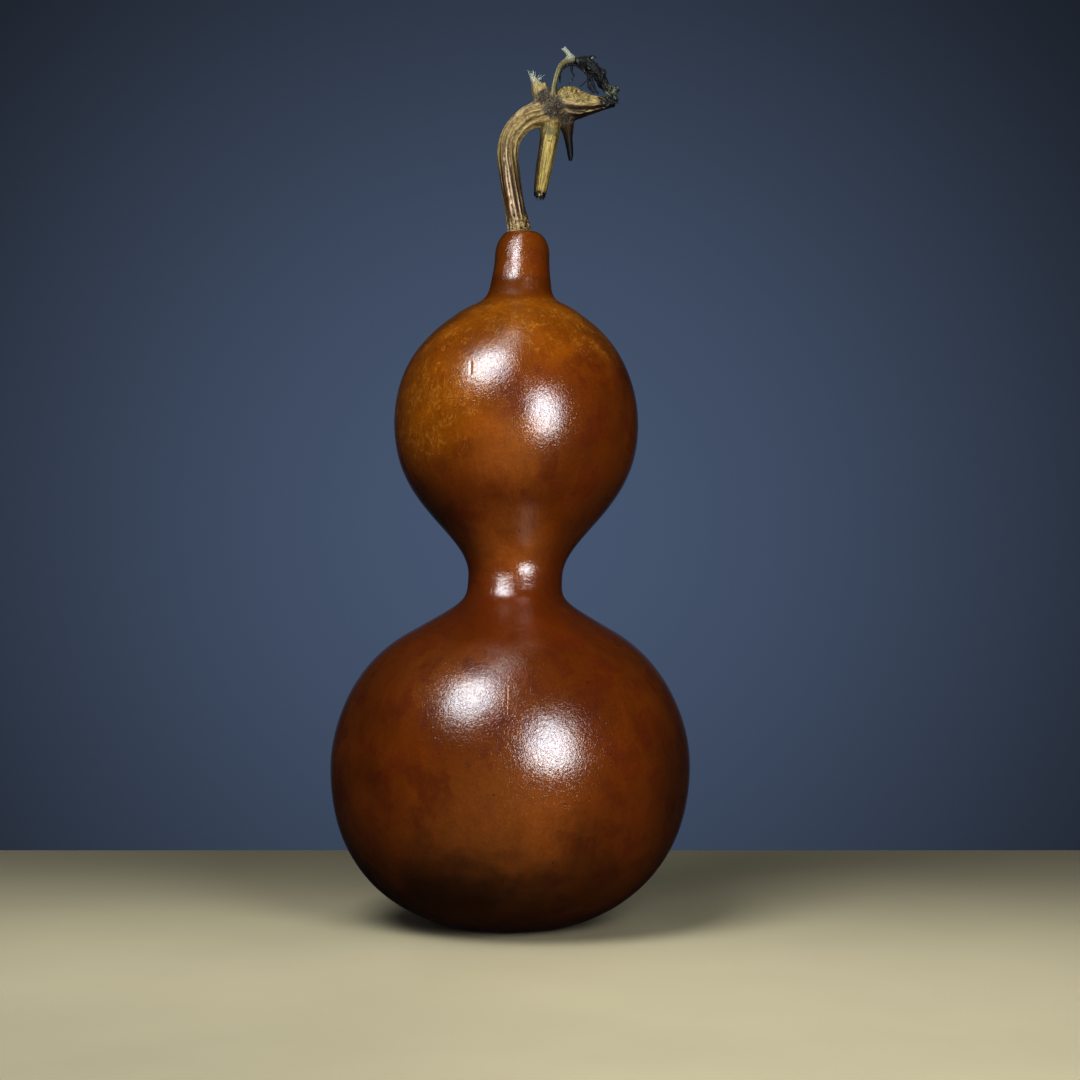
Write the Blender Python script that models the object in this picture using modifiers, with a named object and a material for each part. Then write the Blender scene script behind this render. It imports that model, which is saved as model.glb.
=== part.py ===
"""Dried bottle gourd standing on its base, with its fruit stalk and a knot of the vine."""

import math
from collections import namedtuple

import bmesh
import bpy
from mathutils import Vector, geometry

# Lengths below are in millimetres. The origin is the middle of the flat base, and Z is up.
MM = 0.001

# A knot of the gourd's outline: its radius and height, the way the outline heads there
# (0 degrees is outwards, 90 is up), how far the curve's handles reach before and after it,
# and the rings up to the next knot.
Knot = namedtuple("Knot", "radius height heading reach_before reach_after rings")
BASE_EDGE = Knot(17.0, 0.0, 0.0, 0.0, 2.7, 10)
LOWER_BELLY = Knot(54.6, 47.8, 90.0, 40.7, 14.0, 7)
LOWER_SHOULDER = Knot(31.0, 89.0, 150.7, 19.0, 19.8, 6)
WAIST = Knot(14.5, 105.4, 90.0, 7.1, 13.3, 8)
UPPER_BELLY = Knot(37.5, 151.9, 90.0, 26.0, 22.7, 7)
UPPER_SHOULDER = Knot(19.6, 185.7, 141.2, 3.1, 7.5, 4)
NECK_FOOT = Knot(9.3, 195.1, 96.9, 6.5, 3.1, 3)
NECK_TOP = Knot(8.4, 204.4, 90.0, 3.6, 3.5, 4)
STALK_SEAT = Knot(4.0, 211.6, 176.0, 2.6, 0.0, 1)
OUTLINE = (BASE_EDGE, LOWER_BELLY, LOWER_SHOULDER, WAIST, UPPER_BELLY, UPPER_SHOULDER,
           NECK_FOOT, NECK_TOP, STALK_SEAT)

GOURD_SIDES = 52
DEPTH_SHARE = 0.985
WELD = 0.00005
SLIVER = 0.000002

# The middle line of the gourd leans a little to the right, and it leans back at the waist
# and at the neck: height and shift.
LEAN_RIGHT = ((0.0, 0.0), (75.0, 0.6), (120.0, 2.4), (165.0, 2.1), (210.0, 4.1))
LEAN_BACK = ((0.0, 0.0), (91.0, 0.0), (119.0, 6.7), (186.5, 6.9), (195.2, 5.6), (209.0, 8.9),
             (212.5, 8.3))

# Limbs of the stem, each a list of stops: x, y, z and radius.
STALK_FOOT = (3.1, 8.6, 211.9, 3.4)
FRUIT_STALK = (
    (3.0, 8.6, 212.9, 3.3),
    (1.9, 8.6, 218.1, 2.99),
    (0.9, 8.6, 223.7, 3.04),
    (0.1, 8.6, 229.6, 3.12),
    (-0.4, 8.6, 235.5, 3.16),
    (0.5, 8.6, 240.5, 3.24),
    (3.1, 8.5, 244.4, 3.39),
    (6.8, 8.4, 247.1, 3.64),
    (10.4, 7.9, 247.9, 3.7),
    (13.4, 8.6, 249.8, 3.45),
)
VINE_STUB = (
    (11.0, 8.8, 251.0, 3.45),
    (15.3, 9.0, 250.7, 3.95),
    (20.3, 9.3, 250.4, 3.79),
    (24.9, 9.6, 251.1, 2.88),
    (29.6, 10.1, 251.8, 1.9),
    (32.3, 10.4, 252.2, 1.5),
)
FRAYED_STUB = (
    (10.7, 8.7, 251.3, 2.32),
    (9.4, 8.6, 254.3, 2.13),
    (8.6, 8.5, 256.6, 1.72),
    (7.6, 8.4, 258.6, 1.06),
    (7.1, 8.4, 259.9, 0.51),
)
LEAF_STALK = (
    (12.7, 8.6, 247.0, 3.0),
    (12.8, 7.9, 242.8, 2.85),
    (12.3, 7.3, 239.0, 2.45),
    (11.8, 6.8, 235.4, 2.35),
    (11.2, 6.5, 232.1, 2.25),
    (10.6, 6.4, 228.7, 2.05),
    (10.1, 6.5, 225.4, 1.9),
    (9.5, 6.6, 222.3, 1.6),
)
SHOOT_STUB = (
    (16.6, 9.9, 248.2, 2.9),
    (17.8, 10.3, 244.6, 2.05),
    (18.2, 10.5, 241.2, 1.3),
    (18.7, 10.6, 237.6, 1.0),
    (18.9, 10.6, 235.6, 0.85),
    (18.9, 10.6, 234.1, 0.5),
)
STRAW_ARC = (
    (13.1, 6.0, 250.7, 1.01),
    (13.6, 4.9, 255.2, 0.83),
    (14.6, 5.2, 259.4, 0.81),
    (15.9, 5.8, 262.4, 0.81),
    (17.9, 6.6, 264.2, 0.79),
    (19.7, 7.1, 264.6, 0.75),
)
STRAW_TIP = (
    (19.4, 7.1, 264.7, 0.71),
    (18.1, 7.0, 266.5, 0.79),
    (16.7, 6.9, 268.0, 0.81),
)
THORN = (
    (11.2, 8.2, 253.3, 0.71),
    (11.1, 8.1, 255.9, 0.46),
    (10.9, 8.1, 257.7, 0.2),
)

# Knobbly swellings of the stem: the middle, the radius along each axis, and how lumpy it is.
Swelling = namedtuple("Swelling", "middle radii lumpiness")
VINE_KNOT = Swelling((12.7, 8.5, 250.5), (4.5, 4.3, 4.2), 0.10)
PALE_KNOB = Swelling((18.2, 8.7, 253.6), (4.2, 3.5, 3.4), 0.05)
LUMP_WAVES = (1.15, 0.9, 1.4)

# The ribs of the stalk and the vine.
RIB_COUNT = 8
POINTS_PER_RIB = 4
RIB_DEPTH = 0.07

# The withered tendril: the middle of the curled mass, the strands wound round it,
# and the loose ends.
TENDRIL = (
    (21.0, 7.3, 264.3, 0.81),
    (22.5, 7.6, 264.1, 1.21),
    (24.6, 8.1, 263.5, 1.57),
    (27.0, 8.8, 261.2, 1.62),
    (28.5, 9.4, 258.8, 1.26),
    (29.6, 9.9, 257.0, 1.1),
    (31.0, 10.3, 255.9, 1.1),
    (32.6, 10.6, 255.5, 0.85),
)
STRAND_COUNT = 3
STRAND_RADIUS = 0.6
STRAND_TURNS = 1.6
STRAND_SINK = 0.15
LOOSE_ENDS = (
    ((21.3, 7.4, 263.8, 0.46), (19.3, 7.4, 262.1, 0.36), (19.0, 7.5, 259.9, 0.33),
     (19.7, 7.6, 258.3, 0.31)),
    ((26.4, 8.8, 260.6, 0.51), (25.3, 8.9, 259.2, 0.36), (23.9, 9.2, 258.1, 0.33),
     (22.4, 9.4, 257.3, 0.31)),
    ((24.0, 8.0, 264.1, 0.51), (24.9, 7.8, 265.6, 0.39), (26.3, 7.8, 266.0, 0.31)),
    ((27.4, 9.0, 261.0, 0.51), (29.3, 9.1, 261.7, 0.39), (29.9, 9.2, 260.5, 0.31)),
    ((31.8, 10.3, 256.2, 0.51), (33.0, 10.5, 257.0, 0.39), (33.9, 10.6, 256.3, 0.31)),
)

# Spacing of the points along each kind of limb, and the sides of its tube.
STALK_SPACING = 2.3
TWIG_SPACING = 1.8
WISP_SPACING = 1.5
TWIG_BEVEL = 4
WISP_BEVEL = 1

GOURD_COLOUR = (0.195, 0.040, 0.009, 1.0)
STEM_COLOUR = (0.305, 0.188, 0.066, 1.0)
TENDRIL_COLOUR = (0.024, 0.018, 0.012, 1.0)


def clear_objects():
    """Start from an empty scene."""
    for item in list(bpy.data.objects):
        bpy.data.objects.remove(item, do_unlink=True)


def make_collection(name):
    """A collection of that name, linked to the scene."""
    group = bpy.data.collections.new(name)
    bpy.context.scene.collection.children.link(group)
    return group


def make_material(name, colour, roughness, coat):
    """A Principled material with a plain colour."""
    material = bpy.data.materials.new(name)
    material.use_nodes = True
    shader = material.node_tree.nodes["Principled BSDF"]
    shader.inputs["Base Color"].default_value = colour
    shader.inputs["Roughness"].default_value = roughness
    shader.inputs["Metallic"].default_value = 0.0
    shader.inputs["Coat Weight"].default_value = coat
    return material


def evaluated_mesh(item):
    """The mesh of an object as its modifiers or its curve settings leave it."""
    bpy.context.view_layer.update()
    depsgraph = bpy.context.evaluated_depsgraph_get()
    return bpy.data.meshes.new_from_object(item.evaluated_get(depsgraph))


def clean_mesh(mesh):
    """Weld the caps, drop slivers and turn every face outwards."""
    edit = bmesh.new()
    edit.from_mesh(mesh)
    bmesh.ops.remove_doubles(edit, verts=edit.verts, dist=SLIVER)
    bmesh.ops.dissolve_degenerate(edit, edges=edit.edges, dist=SLIVER)
    bmesh.ops.triangulate(edit, faces=edit.faces)
    bmesh.ops.recalc_face_normals(edit, faces=edit.faces)
    edit.to_mesh(mesh)
    edit.free()


def finish_object(item, material):
    """Give an object its material and smooth shading with the sharp edges kept."""
    item.data.materials.clear()
    item.data.materials.append(material)
    item.data.shade_smooth()
    item.data.set_sharp_from_angle(angle=math.radians(50))


def heading_vector(knot):
    """The way the outline heads at a knot, in the XZ plane."""
    angle = math.radians(knot.heading)
    return Vector((math.cos(angle), 0.0, math.sin(angle)))


def outline_points():
    """The gourd's outer line, from the middle of its top down to the middle of its base."""
    points = [Vector((0.0, 0.0, BASE_EDGE.height))]
    for lower, upper in zip(OUTLINE, OUTLINE[1:]):
        start = Vector((lower.radius, 0.0, lower.height))
        end = Vector((upper.radius, 0.0, upper.height))
        leave = start + heading_vector(lower) * lower.reach_after
        arrive = end - heading_vector(upper) * upper.reach_before
        points += geometry.interpolate_bezier(start, leave, arrive, end, lower.rings + 1)[:-1]
    points.append(Vector((STALK_SEAT.radius, 0.0, STALK_SEAT.height)))
    points.append(Vector((0.0, 0.0, STALK_SEAT.height)))
    points.reverse()
    return points


def lean_at(stations, height):
    """Shift of the gourd's middle line at a height."""
    for (low, start), (high, end) in zip(stations, stations[1:]):
        if height < high:
            share = (height - low) / (high - low)
            ease = share * share * (3.0 - 2.0 * share)
            return start + (end - start) * ease
    return stations[-1][1]


def turn_gourd(material, parts):
    """The gourd: its outline turned by a Screw, then leaned and made a little oval."""
    points = outline_points()
    profile = bpy.data.meshes.new("gourd_outline")
    edges = [(index, index + 1) for index in range(len(points) - 1)]
    profile.from_pydata([point * MM for point in points], edges, [])
    turned = bpy.data.objects.new("gourd_outline", profile)
    parts.objects.link(turned)
    screw = turned.modifiers.new("turn", "SCREW")
    screw.axis = "Z"
    screw.angle = 2.0 * math.pi
    screw.steps = GOURD_SIDES
    screw.render_steps = GOURD_SIDES
    screw.use_merge_vertices = True
    screw.merge_threshold = WELD
    mesh = evaluated_mesh(turned)
    bpy.data.objects.remove(turned, do_unlink=True)
    for vertex in mesh.vertices:
        height = vertex.co.z / MM
        vertex.co.x += lean_at(LEAN_RIGHT, height) * MM
        vertex.co.y = vertex.co.y * DEPTH_SHARE + lean_at(LEAN_BACK, height) * MM
    clean_mesh(mesh)
    mesh.name = "gourd"
    gourd = bpy.data.objects.new("gourd", mesh)
    parts.objects.link(gourd)
    finish_object(gourd, material)
    return gourd


def smooth_route(stops, spacing):
    """Points on a smooth curve through the stops, about one spacing apart, with the radius last."""
    knots = [Vector(stop) for stop in stops]
    knots = [knots[0] * 2.0 - knots[1]] + knots + [knots[-1] * 2.0 - knots[-2]]
    route = []
    for before, start, end, after in zip(knots, knots[1:], knots[2:], knots[3:]):
        steps = max(1, round((end - start).length / spacing))
        for step in range(steps):
            t = step / steps
            bend = before * 2.0 - start * 5.0 + end * 4.0 - after
            swing = start * 3.0 - before - end * 3.0 + after
            route.append((start * 2.0 + (end - before) * t + bend * t * t + swing * t ** 3) * 0.5)
    route.append(knots[-2])
    return route


def rib_section(guides):
    """Closed outline across a ribbed stalk, one millimetre in radius."""
    curve = bpy.data.curves.new("rib_section", "CURVE")
    curve.dimensions = "2D"
    spline = curve.splines.new("POLY")
    count = RIB_COUNT * POINTS_PER_RIB
    spline.points.add(count - 1)
    for index, point in enumerate(spline.points):
        angle = 2.0 * math.pi * index / count
        radius = MM * (1.0 + RIB_DEPTH * math.cos(RIB_COUNT * angle))
        point.co = (radius * math.cos(angle), radius * math.sin(angle), 0.0, 1.0)
    spline.use_cyclic_u = True
    section = bpy.data.objects.new("rib_section", curve)
    section.hide_render = True
    section.display_type = "WIRE"
    guides.objects.link(section)
    return section


def make_limb(name, route, group, section=None, bevel=TWIG_BEVEL):
    """A capped tube along a route, its radius taken from each point, as a closed mesh."""
    curve = bpy.data.curves.new(name, "CURVE")
    curve.dimensions = "3D"
    curve.use_fill_caps = True
    if section:
        curve.bevel_mode = "OBJECT"
        curve.bevel_object = section
    else:
        curve.bevel_depth = MM
        curve.bevel_resolution = bevel
    spline = curve.splines.new("POLY")
    spline.points.add(len(route) - 1)
    for point, stop in zip(spline.points, route):
        point.co = (stop[0] * MM, stop[1] * MM, stop[2] * MM, 1.0)
        point.radius = stop[3]
    tube = bpy.data.objects.new(name, curve)
    group.objects.link(tube)
    mesh = evaluated_mesh(tube)
    place = tube.matrix_world.copy()
    bpy.data.objects.remove(tube, do_unlink=True)
    clean_mesh(mesh)
    limb = bpy.data.objects.new(name, mesh)
    limb.matrix_world = place
    group.objects.link(limb)
    return limb


def make_swelling(name, swelling, group):
    """A lumpy ball, where the limbs of the stem grow together."""
    ball = bmesh.new()
    bmesh.ops.create_icosphere(ball, subdivisions=3, radius=1.0)
    for vertex in ball.verts:
        waves = [math.sin(3.0 * wave * part + wave) for wave, part in zip(LUMP_WAVES, vertex.co)]
        swell = 1.0 + swelling.lumpiness * sum(waves)
        place = [middle + radius * swell * part
                 for middle, radius, part in zip(swelling.middle, swelling.radii, vertex.co)]
        vertex.co = Vector(place) * MM
    mesh = bpy.data.meshes.new(name)
    ball.to_mesh(mesh)
    ball.free()
    item = bpy.data.objects.new(name, mesh)
    group.objects.link(item)
    return item


def fuse(name, first, group, material, parts):
    """Join an object with everything in a collection into one solid, and empty the collection."""
    group.objects.unlink(first)
    parts.objects.link(first)
    union = first.modifiers.new("grown_together", "BOOLEAN")
    union.operation = "UNION"
    union.operand_type = "COLLECTION"
    union.collection = group
    mesh = evaluated_mesh(first)
    bpy.data.objects.remove(first, do_unlink=True)
    for item in list(group.objects):
        bpy.data.objects.remove(item, do_unlink=True)
    clean_mesh(mesh)
    mesh.name = name
    solid = bpy.data.objects.new(name, mesh)
    parts.objects.link(solid)
    finish_object(solid, material)
    return solid


def grow_stem(material, parts, limbs):
    """The fruit stalk, the knot of the vine, and the stubs of all that grew from it."""
    section = rib_section(limbs)
    foot = Vector(STALK_FOOT)
    stalk = make_limb("fruit_stalk", [foot] + smooth_route(FRUIT_STALK, STALK_SPACING), limbs, section)
    make_limb("vine_stub", smooth_route(VINE_STUB, STALK_SPACING), limbs, section)
    twigs = {"frayed_stub": FRAYED_STUB, "leaf_stalk": LEAF_STALK, "shoot_stub": SHOOT_STUB,
             "straw_arc": STRAW_ARC, "straw_tip": STRAW_TIP}
    for name, stops in twigs.items():
        make_limb(name, smooth_route(stops, TWIG_SPACING), limbs)
    make_limb("thorn", smooth_route(THORN, WISP_SPACING), limbs, bevel=WISP_BEVEL)
    make_swelling("vine_knot", VINE_KNOT, limbs)
    make_swelling("pale_knob", PALE_KNOB, limbs)
    bpy.data.objects.remove(section, do_unlink=True)
    return fuse("stem", stalk, limbs, material, parts)


def strand_route(core, phase):
    """A strand wound round the core of the withered tendril, half sunk into it."""
    route = []
    last = len(core) - 1
    for index, point in enumerate(core):
        ahead = core[min(index + 1, last)].to_3d() - core[max(index - 1, 0)].to_3d()
        across = ahead.cross(Vector((0.0, 1.0, 0.0))).normalized()
        along_view = ahead.normalized().cross(across)
        angle = phase + 2.0 * math.pi * STRAND_TURNS * index / last
        reach = point[3] - STRAND_SINK
        place = point.to_3d() + (across * math.cos(angle) + along_view * math.sin(angle)) * reach
        route.append(Vector((place.x, place.y, place.z, STRAND_RADIUS)))
    return route


def curl_tendril(material, parts, limbs):
    """The withered tendril: a core, the strands wound round it, and its loose ends."""
    core = smooth_route(TENDRIL, WISP_SPACING)
    body = make_limb("tendril_core", core, limbs, bevel=TWIG_BEVEL)
    for index in range(STRAND_COUNT):
        phase = 2.0 * math.pi * index / STRAND_COUNT
        make_limb(f"strand_{index}", strand_route(core, phase), limbs, bevel=WISP_BEVEL)
    for index, stops in enumerate(LOOSE_ENDS):
        make_limb(f"loose_end_{index}", smooth_route(stops, WISP_SPACING), limbs, bevel=WISP_BEVEL)
    return fuse("withered_tendril", body, limbs, material, parts)


def main():
    clear_objects()
    parts = make_collection("dried_bottle_gourd")
    limbs = make_collection("limbs")
    turn_gourd(make_material("gourd_skin", GOURD_COLOUR, 0.35, 0.6), parts)
    grow_stem(make_material("dry_stem", STEM_COLOUR, 0.7, 0.0), parts, limbs)
    curl_tendril(make_material("withered_tendril", TENDRIL_COLOUR, 0.85, 0.0), parts, limbs)


main()
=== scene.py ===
"""The finished looks of a dried bottle gourd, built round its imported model."""

import math
import random
from collections import namedtuple

import bmesh
import bpy
import numpy as np
from bpy.props import FloatProperty, FloatVectorProperty, IntProperty, PointerProperty
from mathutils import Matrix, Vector, geometry, noise


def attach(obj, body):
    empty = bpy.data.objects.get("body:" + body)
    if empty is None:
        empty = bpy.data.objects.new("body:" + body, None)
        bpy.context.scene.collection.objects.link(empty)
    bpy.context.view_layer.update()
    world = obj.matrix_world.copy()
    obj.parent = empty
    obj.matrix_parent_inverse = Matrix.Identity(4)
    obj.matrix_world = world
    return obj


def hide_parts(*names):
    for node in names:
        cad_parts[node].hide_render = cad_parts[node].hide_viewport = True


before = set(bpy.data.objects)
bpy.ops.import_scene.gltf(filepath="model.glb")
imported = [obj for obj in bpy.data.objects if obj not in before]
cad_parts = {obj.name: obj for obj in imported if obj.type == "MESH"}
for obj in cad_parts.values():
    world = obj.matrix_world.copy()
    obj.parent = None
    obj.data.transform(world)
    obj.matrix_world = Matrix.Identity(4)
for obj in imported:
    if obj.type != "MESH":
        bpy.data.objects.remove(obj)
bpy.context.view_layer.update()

bl_info = {
    "name": "Dried bottle gourd",
    "version": (1, 0, 0),
    "blender": (4, 5, 0),
    "location": "3D View > Sidebar > Gourd",
    "description": "Builds a glossy dried gourd with its ribbed stalk, vine knot and withered tendril",
    "category": "Object",
}

# Lengths below are in millimetres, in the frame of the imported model: the origin is the
# middle of the gourd's flat base, Z is up and the front is -Y.
MM = 0.001
BODY = "root"

# Knots of the gourd's outline: radius, height, heading (0 degrees is outwards, 90 is up)
# and the reach of the curve's handles before and after.
Knot = namedtuple("Knot", "radius height heading reach_before reach_after")
OUTLINE = (
    Knot(17.0, 0.0, 0.0, 0.0, 2.7),
    Knot(54.6, 47.8, 90.0, 40.7, 14.0),
    Knot(31.0, 89.0, 150.7, 19.0, 19.8),
    Knot(14.5, 105.4, 90.0, 7.1, 13.3),
    Knot(37.5, 151.9, 90.0, 26.0, 22.7),
    Knot(19.6, 185.7, 141.2, 3.1, 7.5),
    Knot(9.3, 195.1, 96.9, 6.5, 3.1),
    Knot(8.4, 204.4, 90.0, 3.6, 3.5),
    Knot(4.0, 211.6, 176.0, 2.6, 0.0),
)
# How far the gourd's middle line leans to the right and to the back at each height.
LEAN_RIGHT = ((0.0, 0.0), (75.0, 0.6), (120.0, 2.4), (165.0, 2.1), (210.0, 4.1))
LEAN_BACK = ((0.0, 0.0), (91.0, 0.0), (119.0, 6.7), (186.5, 6.9), (195.2, 5.6), (209.0, 8.9),
             (212.5, 8.3))
# Depth of the gourd as a share of its width, and the top of its neck.
DEPTH_SHARE = 0.985
BODY_HEIGHT = OUTLINE[-1].height
STALK_CENTRE = (3.1, 8.6)
# Fineness of the outline and of its two ends, and the reach of the blossom scar.
CURVE_POINTS = 400
BASE_RINGS = 18
TOP_RINGS = 5
SCAR_REACH = 6.0

# Limbs of the stem: stops with x, y, z and radius, the ribs, and how ragged the cut end is.
Limb = namedtuple("Limb", "stops ribs rib_depth twist tint ridge ragged")
STALK_STOPS = (
    (3.1, 8.6, 211.2, 3.7),
    (3.0, 8.6, 212.9, 3.4),
    (1.9, 8.6, 218.1, 2.99),
    (0.9, 8.6, 223.7, 3.04),
    (0.1, 8.6, 229.6, 3.12),
    (-0.4, 8.6, 235.5, 3.16),
    (0.5, 8.6, 240.5, 3.24),
    (3.1, 8.5, 244.4, 3.39),
    (6.8, 8.4, 247.1, 3.64),
    (10.4, 7.9, 247.9, 3.7),
    (13.4, 8.6, 249.8, 3.45),
)
VINE_STOPS = (
    (11.0, 8.8, 251.0, 3.45),
    (15.3, 9.0, 250.7, 3.95),
    (20.3, 9.3, 250.4, 3.79),
    (24.9, 9.6, 251.1, 2.88),
    (29.6, 10.1, 251.8, 1.9),
    (32.3, 10.4, 252.2, 1.5),
)
FRAYED_STOPS = (
    (10.7, 8.7, 251.3, 2.32),
    (9.4, 8.6, 254.3, 2.13),
    (8.6, 8.5, 256.6, 1.72),
    (7.6, 8.4, 258.6, 1.06),
    (7.1, 8.4, 259.9, 0.56),
)
LEAF_STALK_STOPS = (
    (12.6, 8.6, 247.0, 3.0),
    (12.6, 7.9, 242.8, 2.95),
    (12.1, 7.3, 239.0, 2.7),
    (11.5, 6.8, 235.4, 2.6),
    (10.9, 6.5, 232.1, 2.5),
    (10.3, 6.4, 228.7, 2.3),
    (9.8, 6.5, 225.4, 2.1),
    (9.3, 6.6, 222.3, 1.7),
)
SHOOT_STOPS = (
    (16.6, 9.9, 248.2, 2.9),
    (17.8, 10.3, 244.6, 2.05),
    (18.2, 10.5, 241.2, 1.3),
    (18.7, 10.6, 237.6, 1.0),
    (18.9, 10.6, 235.6, 0.85),
    (18.9, 10.6, 234.1, 0.5),
)
STRAW_ARC_STOPS = (
    (13.1, 6.0, 250.7, 1.01),
    (13.6, 4.9, 255.2, 0.83),
    (14.6, 5.2, 259.4, 0.81),
    (15.9, 5.8, 262.4, 0.81),
    (17.9, 6.6, 264.2, 0.79),
    (20.0, 7.1, 264.6, 0.75),
)
STRAW_TIP_STOPS = (
    (19.4, 7.1, 264.7, 0.71),
    (18.1, 7.0, 266.5, 0.79),
    (16.7, 6.9, 268.0, 0.81),
)
THORN_STOPS = (
    (11.2, 8.2, 253.3, 0.71),
    (11.1, 8.1, 255.9, 0.46),
    (10.9, 8.1, 257.7, 0.2),
)
LIMBS = {
    "fruit_stalk": Limb(STALK_STOPS, 11, 0.085, 0.10, "straw", 1.0, 0.0),
    "vine_stub": Limb(VINE_STOPS, 11, 0.045, -0.3, "gold", 0.6, 0.5),
    "frayed_stub": Limb(FRAYED_STOPS, 5, 0.07, 0.0, "gold", 0.4, 0.4),
    "leaf_stalk": Limb(LEAF_STALK_STOPS, 6, 0.03, 0.0, "leaf_stalk", 0.25, 0.9),
    "shoot_stub": Limb(SHOOT_STOPS, 5, 0.05, 0.0, "dark", 0.0, 0.3),
    "straw_arc": Limb(STRAW_ARC_STOPS, 4, 0.12, 0.8, "olive", 0.5, 0.0),
    "straw_tip": Limb(STRAW_TIP_STOPS, 4, 0.08, 0.0, "bleached", 0.2, 0.3),
    "thorn": Limb(THORN_STOPS, 3, 0.0, 0.0, "gold", 0.0, 0.0),
}
Swelling = namedtuple("Swelling", "middle radii lumps tint")
SWELLINGS = {
    "vine_knot": Swelling((12.7, 8.5, 250.5), (4.5, 4.3, 4.2), 0.55, "crust"),
    "pale_knob": Swelling((18.2, 8.7, 253.4), (4.2, 3.5, 3.2), 0.50, "knob"),
    "knob_tail": Swelling((21.8, 8.8, 252.5), (3.1, 2.8, 2.2), 0.30, "knob"),
}

# Spacing and sides of the limbs before they grow together.
LIMB_STEP = 1.2
LIMB_SIDES = 20

# Patches of dark, hairy crust on the vine knot: middle and reach.
CRUST_PATCHES = (((10.3, 5.3, 253.0), 3.2), ((13.9, 4.6, 249.4), 3.9), ((12.0, 12.0, 251.3), 4.2),
                 ((17.6, 8.0, 246.6), 2.9))
# Crust thicker than this share carries hairs.
HAIRY_CRUST = 0.35

# The withered tendril: the middle of the curled mass, the thin ring inside it, the threads
# across the ring and the hooks at its edge, each as stops with x, y, z and radius.
TENDRIL_STOPS = (
    (20.2, 7.1, 264.3, 0.95),
    (22.4, 7.6, 264.0, 1.45),
    (24.6, 8.1, 263.2, 1.75),
    (26.9, 8.8, 261.1, 1.80),
    (28.4, 9.4, 258.8, 1.50),
    (29.6, 9.9, 257.0, 1.35),
    (31.0, 10.3, 255.8, 1.40),
    (32.4, 10.5, 255.0, 1.05),
)
INNER_RING = (
    (15.8, 6.0, 257.3, 0.18), (15.5, 6.0, 259.3, 0.32), (16.3, 6.3, 261.4, 0.38),
    (18.1, 6.8, 262.8, 0.40), (20.2, 7.4, 263.1, 0.42), (22.3, 7.9, 261.9, 0.42),
    (24.4, 8.6, 260.0, 0.44), (25.8, 9.3, 257.8, 0.42), (26.6, 9.7, 255.7, 0.38),
    (27.5, 9.9, 254.8, 0.30),
)
THREADS = (
    ((19.5, 7.3, 262.8, 0.40), (19.2, 7.4, 261.1, 0.30), (20.0, 7.5, 259.7, 0.29),
     (19.4, 7.6, 258.4, 0.25), (18.6, 7.6, 257.3, 0.16)),
    ((25.7, 8.9, 259.5, 0.38), (24.4, 9.0, 258.9, 0.30), (23.2, 9.2, 257.9, 0.27),
     (21.8, 9.4, 256.7, 0.17)),
    ((26.0, 9.2, 258.3, 0.36), (25.2, 9.3, 257.3, 0.28), (25.4, 9.5, 255.8, 0.28),
     (26.4, 9.8, 254.8, 0.20)),
    ((24.0, 8.4, 260.6, 0.36), (24.6, 8.8, 259.0, 0.30), (24.3, 9.2, 257.2, 0.28),
     (25.0, 9.6, 255.6, 0.22)),
)
HOOKS = (
    ((23.6, 7.8, 264.6, 0.41), (24.8, 7.5, 265.6, 0.31), (26.0, 7.5, 265.9, 0.24),
     (26.8, 7.6, 265.2, 0.12)),
    ((27.5, 9.0, 261.5, 0.46), (29.1, 9.1, 262.0, 0.31), (29.7, 9.2, 260.9, 0.25),
     (29.4, 9.2, 260.0, 0.12)),
    ((31.8, 10.4, 256.2, 0.51), (33.0, 10.4, 256.8, 0.38), (33.8, 10.5, 256.0, 0.28),
     (33.4, 10.6, 254.8, 0.16)),
    ((30.4, 10.1, 256.0, 0.60), (31.5, 10.2, 254.9, 0.55), (32.4, 10.3, 253.8, 0.50),
     (33.0, 10.4, 252.6, 0.36)),
    ((28.4, 9.6, 257.2, 0.55), (29.4, 9.9, 255.8, 0.50), (30.5, 10.0, 254.7, 0.45),
     (31.4, 10.1, 253.9, 0.32)),
    ((31.2, 10.9, 255.6, 0.55), (32.4, 11.0, 254.6, 0.50), (33.2, 11.0, 253.4, 0.40),
     (33.3, 10.9, 252.2, 0.26)),
)
# Spacing of points along the curled mass, and the dusty place at the vine's cut end.
TENDRIL_STEP = 0.45
CUT_END = (31.8, 10.0, 255.2)


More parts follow.
